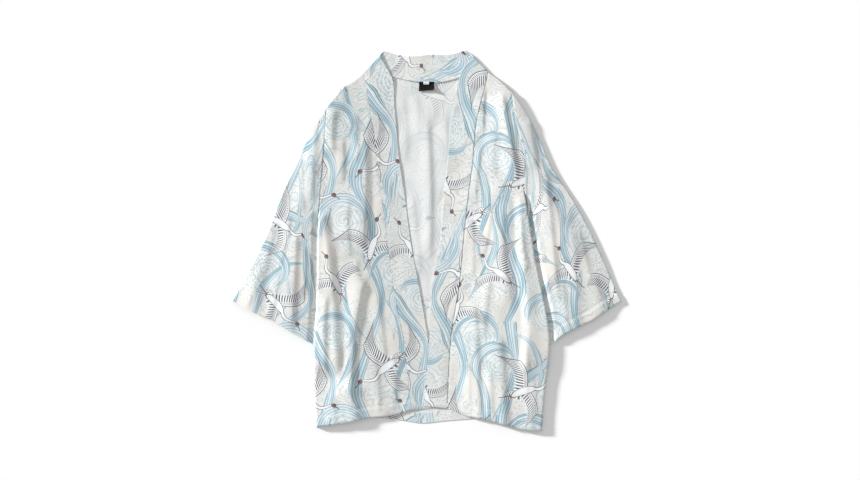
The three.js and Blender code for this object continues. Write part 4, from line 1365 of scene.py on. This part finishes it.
def stitchTree(thread):
    inputs = {"Line": "Geometry", "Stitch": "Float", "Gap": "Float", "Thread": "Float", "Seed": "Int"}
    tree, source = newTree("row of lockstitches", "GeometryNodeTree", inputs, {"Stitches": "Geometry"})
    curve = addNode(tree, "GeometryNodeMeshToCurve", {0: source["Line"]})
    apart = addNode(tree, "ShaderNodeMath", {0: source["Stitch"], 1: source["Gap"]}, operation="ADD")
    links = {"Curve": curve.outputs[0], "Length": apart.outputs[0]}
    spaced = addNode(tree, "GeometryNodeResampleCurve", links, mode="LENGTH")
    ball = addNode(tree, "GeometryNodeMeshUVSphere", {"Segments": 6, "Rings": 5, "Radius": 0.5})
    links = {0: source["Stitch"], 1: source["Thread"], 2: source["Thread"]}
    size = addNode(tree, "ShaderNodeCombineXYZ", links)
    shaped = addNode(tree, "GeometryNodeTransform", {"Geometry": ball.outputs[0], "Scale": size.outputs[0]})
    ahead = addNode(tree, "GeometryNodeInputTangent")
    turned = addNode(tree, "FunctionNodeAlignRotationToVector", {"Vector": ahead.outputs[0]}, axis="X")
    links = {0: sewing["smallest"], 1: sewing["largest"], "Seed": source["Seed"]}
    uneven = addNode(tree, "FunctionNodeRandomValue", links, data_type="FLOAT_VECTOR")
    links = {"Points": spaced.outputs[0], "Instance": shaped.outputs[0],
             "Rotation": turned.outputs[0], "Scale": uneven.outputs[0]}
    placed = addNode(tree, "GeometryNodeInstanceOnPoints", links)
    real = addNode(tree, "GeometryNodeRealizeInstances", {0: placed.outputs[0]})
    rounded = addNode(tree, "GeometryNodeSetShadeSmooth", {0: real.outputs[0]})
    finished = addNode(tree, "GeometryNodeSetMaterial", {"Geometry": rounded.outputs[0], "Material": thread})
    addNode(tree, "NodeGroupOutput", {0: finished.outputs[0]})
    return tree


stitches = stitchTree(sewingThread())


def lineAtHem(name, fromHem, columns):
    surface = outsides[name + "_cloth"]
    rows = []
    for column in range(surface.shape[1])[columns]:
        depth = -fromHem[:, column]
        rows.append([np.interp(-sewing["fromEdge"], depth, surface[:, column, k]) for k in range(3)])
    return np.array(rows) + (0, 0, sewing["raised"])


def sewRow(name, line):
    path = bpy.data.meshes.new("line of stitches")
    ends = [(i, i + 1) for i in range(len(line) - 1)]
    path.from_pydata(((line + originShift) * mm).tolist(), ends, [])
    guide = addObject("line of stitches", path)
    modifier = guide.modifiers.new("stitches", "NODES")
    modifier.node_group = stitches
    values = {name.capitalize(): sewing[name] * mm for name in ("stitch", "gap", "thread")}
    values["Seed"] = sewing["seed"]
    for item in stitches.interface.items_tree:
        if item.in_out == "INPUT" and item.name in values:
            modifier[item.identifier] = values[item.name]
    evaluated = guide.evaluated_get(bpy.context.evaluated_depsgraph_get())
    mesh = bpy.data.meshes.new_from_object(evaluated)
    guide.modifiers.remove(modifier)
    bpy.data.objects.remove(guide)
    return addObject(name + "_stitches", mesh)


stitchRows = {name: sewRow(name, lineAtHem(name, *hemDepths[name])) for name in hemDepths}
print("hems are stitched:", {name: len(row.data.polygons) for name, row in stitchRows.items()})

# The record's slot and the materials of each piece that isn't made of the printed cloth
finishes = {
    "neck_label": ("label_cloth", [blackSatin]),
    "size_tab": ("tab_cloth", [whiteTape]),
}
floorSheet = {
    "reach": 6.0,
    "level": -0.1 * mm,  # a hair under the cloth's flat underside
    "colour": "#f4f4f4",
}


# Matt white paper: an even white that takes a soft shadow and gives no gloss
def makeFloor():
    mesh = bpy.data.meshes.new("floor")
    reach, level = floorSheet["reach"], floorSheet["level"]
    corners = ((-reach, -reach), (reach, -reach), (reach, reach), (-reach, reach))
    mesh.from_pydata([(x, y, level) for x, y in corners], [], [(0, 1, 2, 3)])
    material, tree, shader = newMaterial("matt white paper")
    values = {"Base Color": colour(floorSheet["colour"]), "Roughness": 0.9, "Specular IOR Level": 0.1}
    fillSockets(tree, shader, values)
    mesh.materials.append(material)
    addObject("floor", mesh)


makeFloor()

for name, piece in made.items():
    slot, materials = finishes.get(name, ("body_cloth", [faceSatin, wrongSatin]))
    for material in materials:
        piece.data.materials.append(material)
    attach(piece, "root")
    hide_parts(name)
    sewn = [stitchRows[name]] if name in stitchRows else []
    for row in sewn:
        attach(row, "root")

# ---- light: a low lamp from the left and a pale room
lights = {
    "sunTurn": -24.8,  # degrees; the light travels this way across the floor, from +X
    "sunHeight": 12.5,
    "sunStrength": 7.3,
    "sunSpread": 5.0,
    "room": 0.605,
}


def makeLights():
    lamp = bpy.data.lights.new("window side", "SUN")
    lamp.energy = lights["sunStrength"]
    lamp.angle = math.radians(lights["sunSpread"])
    sun = addObject("window side", lamp)
    turn, height = math.radians(lights["sunTurn"]), math.radians(lights["sunHeight"])
    travel = Vector((math.cos(turn) * math.cos(height), math.sin(turn) * math.cos(height), -math.sin(height)))
    sun.rotation_mode = "QUATERNION"
    sun.rotation_quaternion = travel.to_track_quat("-Z", "Y")
    world = bpy.data.worlds.new("pale room")
    world.use_nodes = True
    background = world.node_tree.nodes["Background"]
    background.inputs["Color"].default_value = (1.0, 1.0, 1.0, 1.0)
    background.inputs["Strength"].default_value = lights["room"]
    bpy.context.scene.world = world
    bpy.context.scene.view_settings.view_transform = "Standard"


makeLights()
print("lights are set")
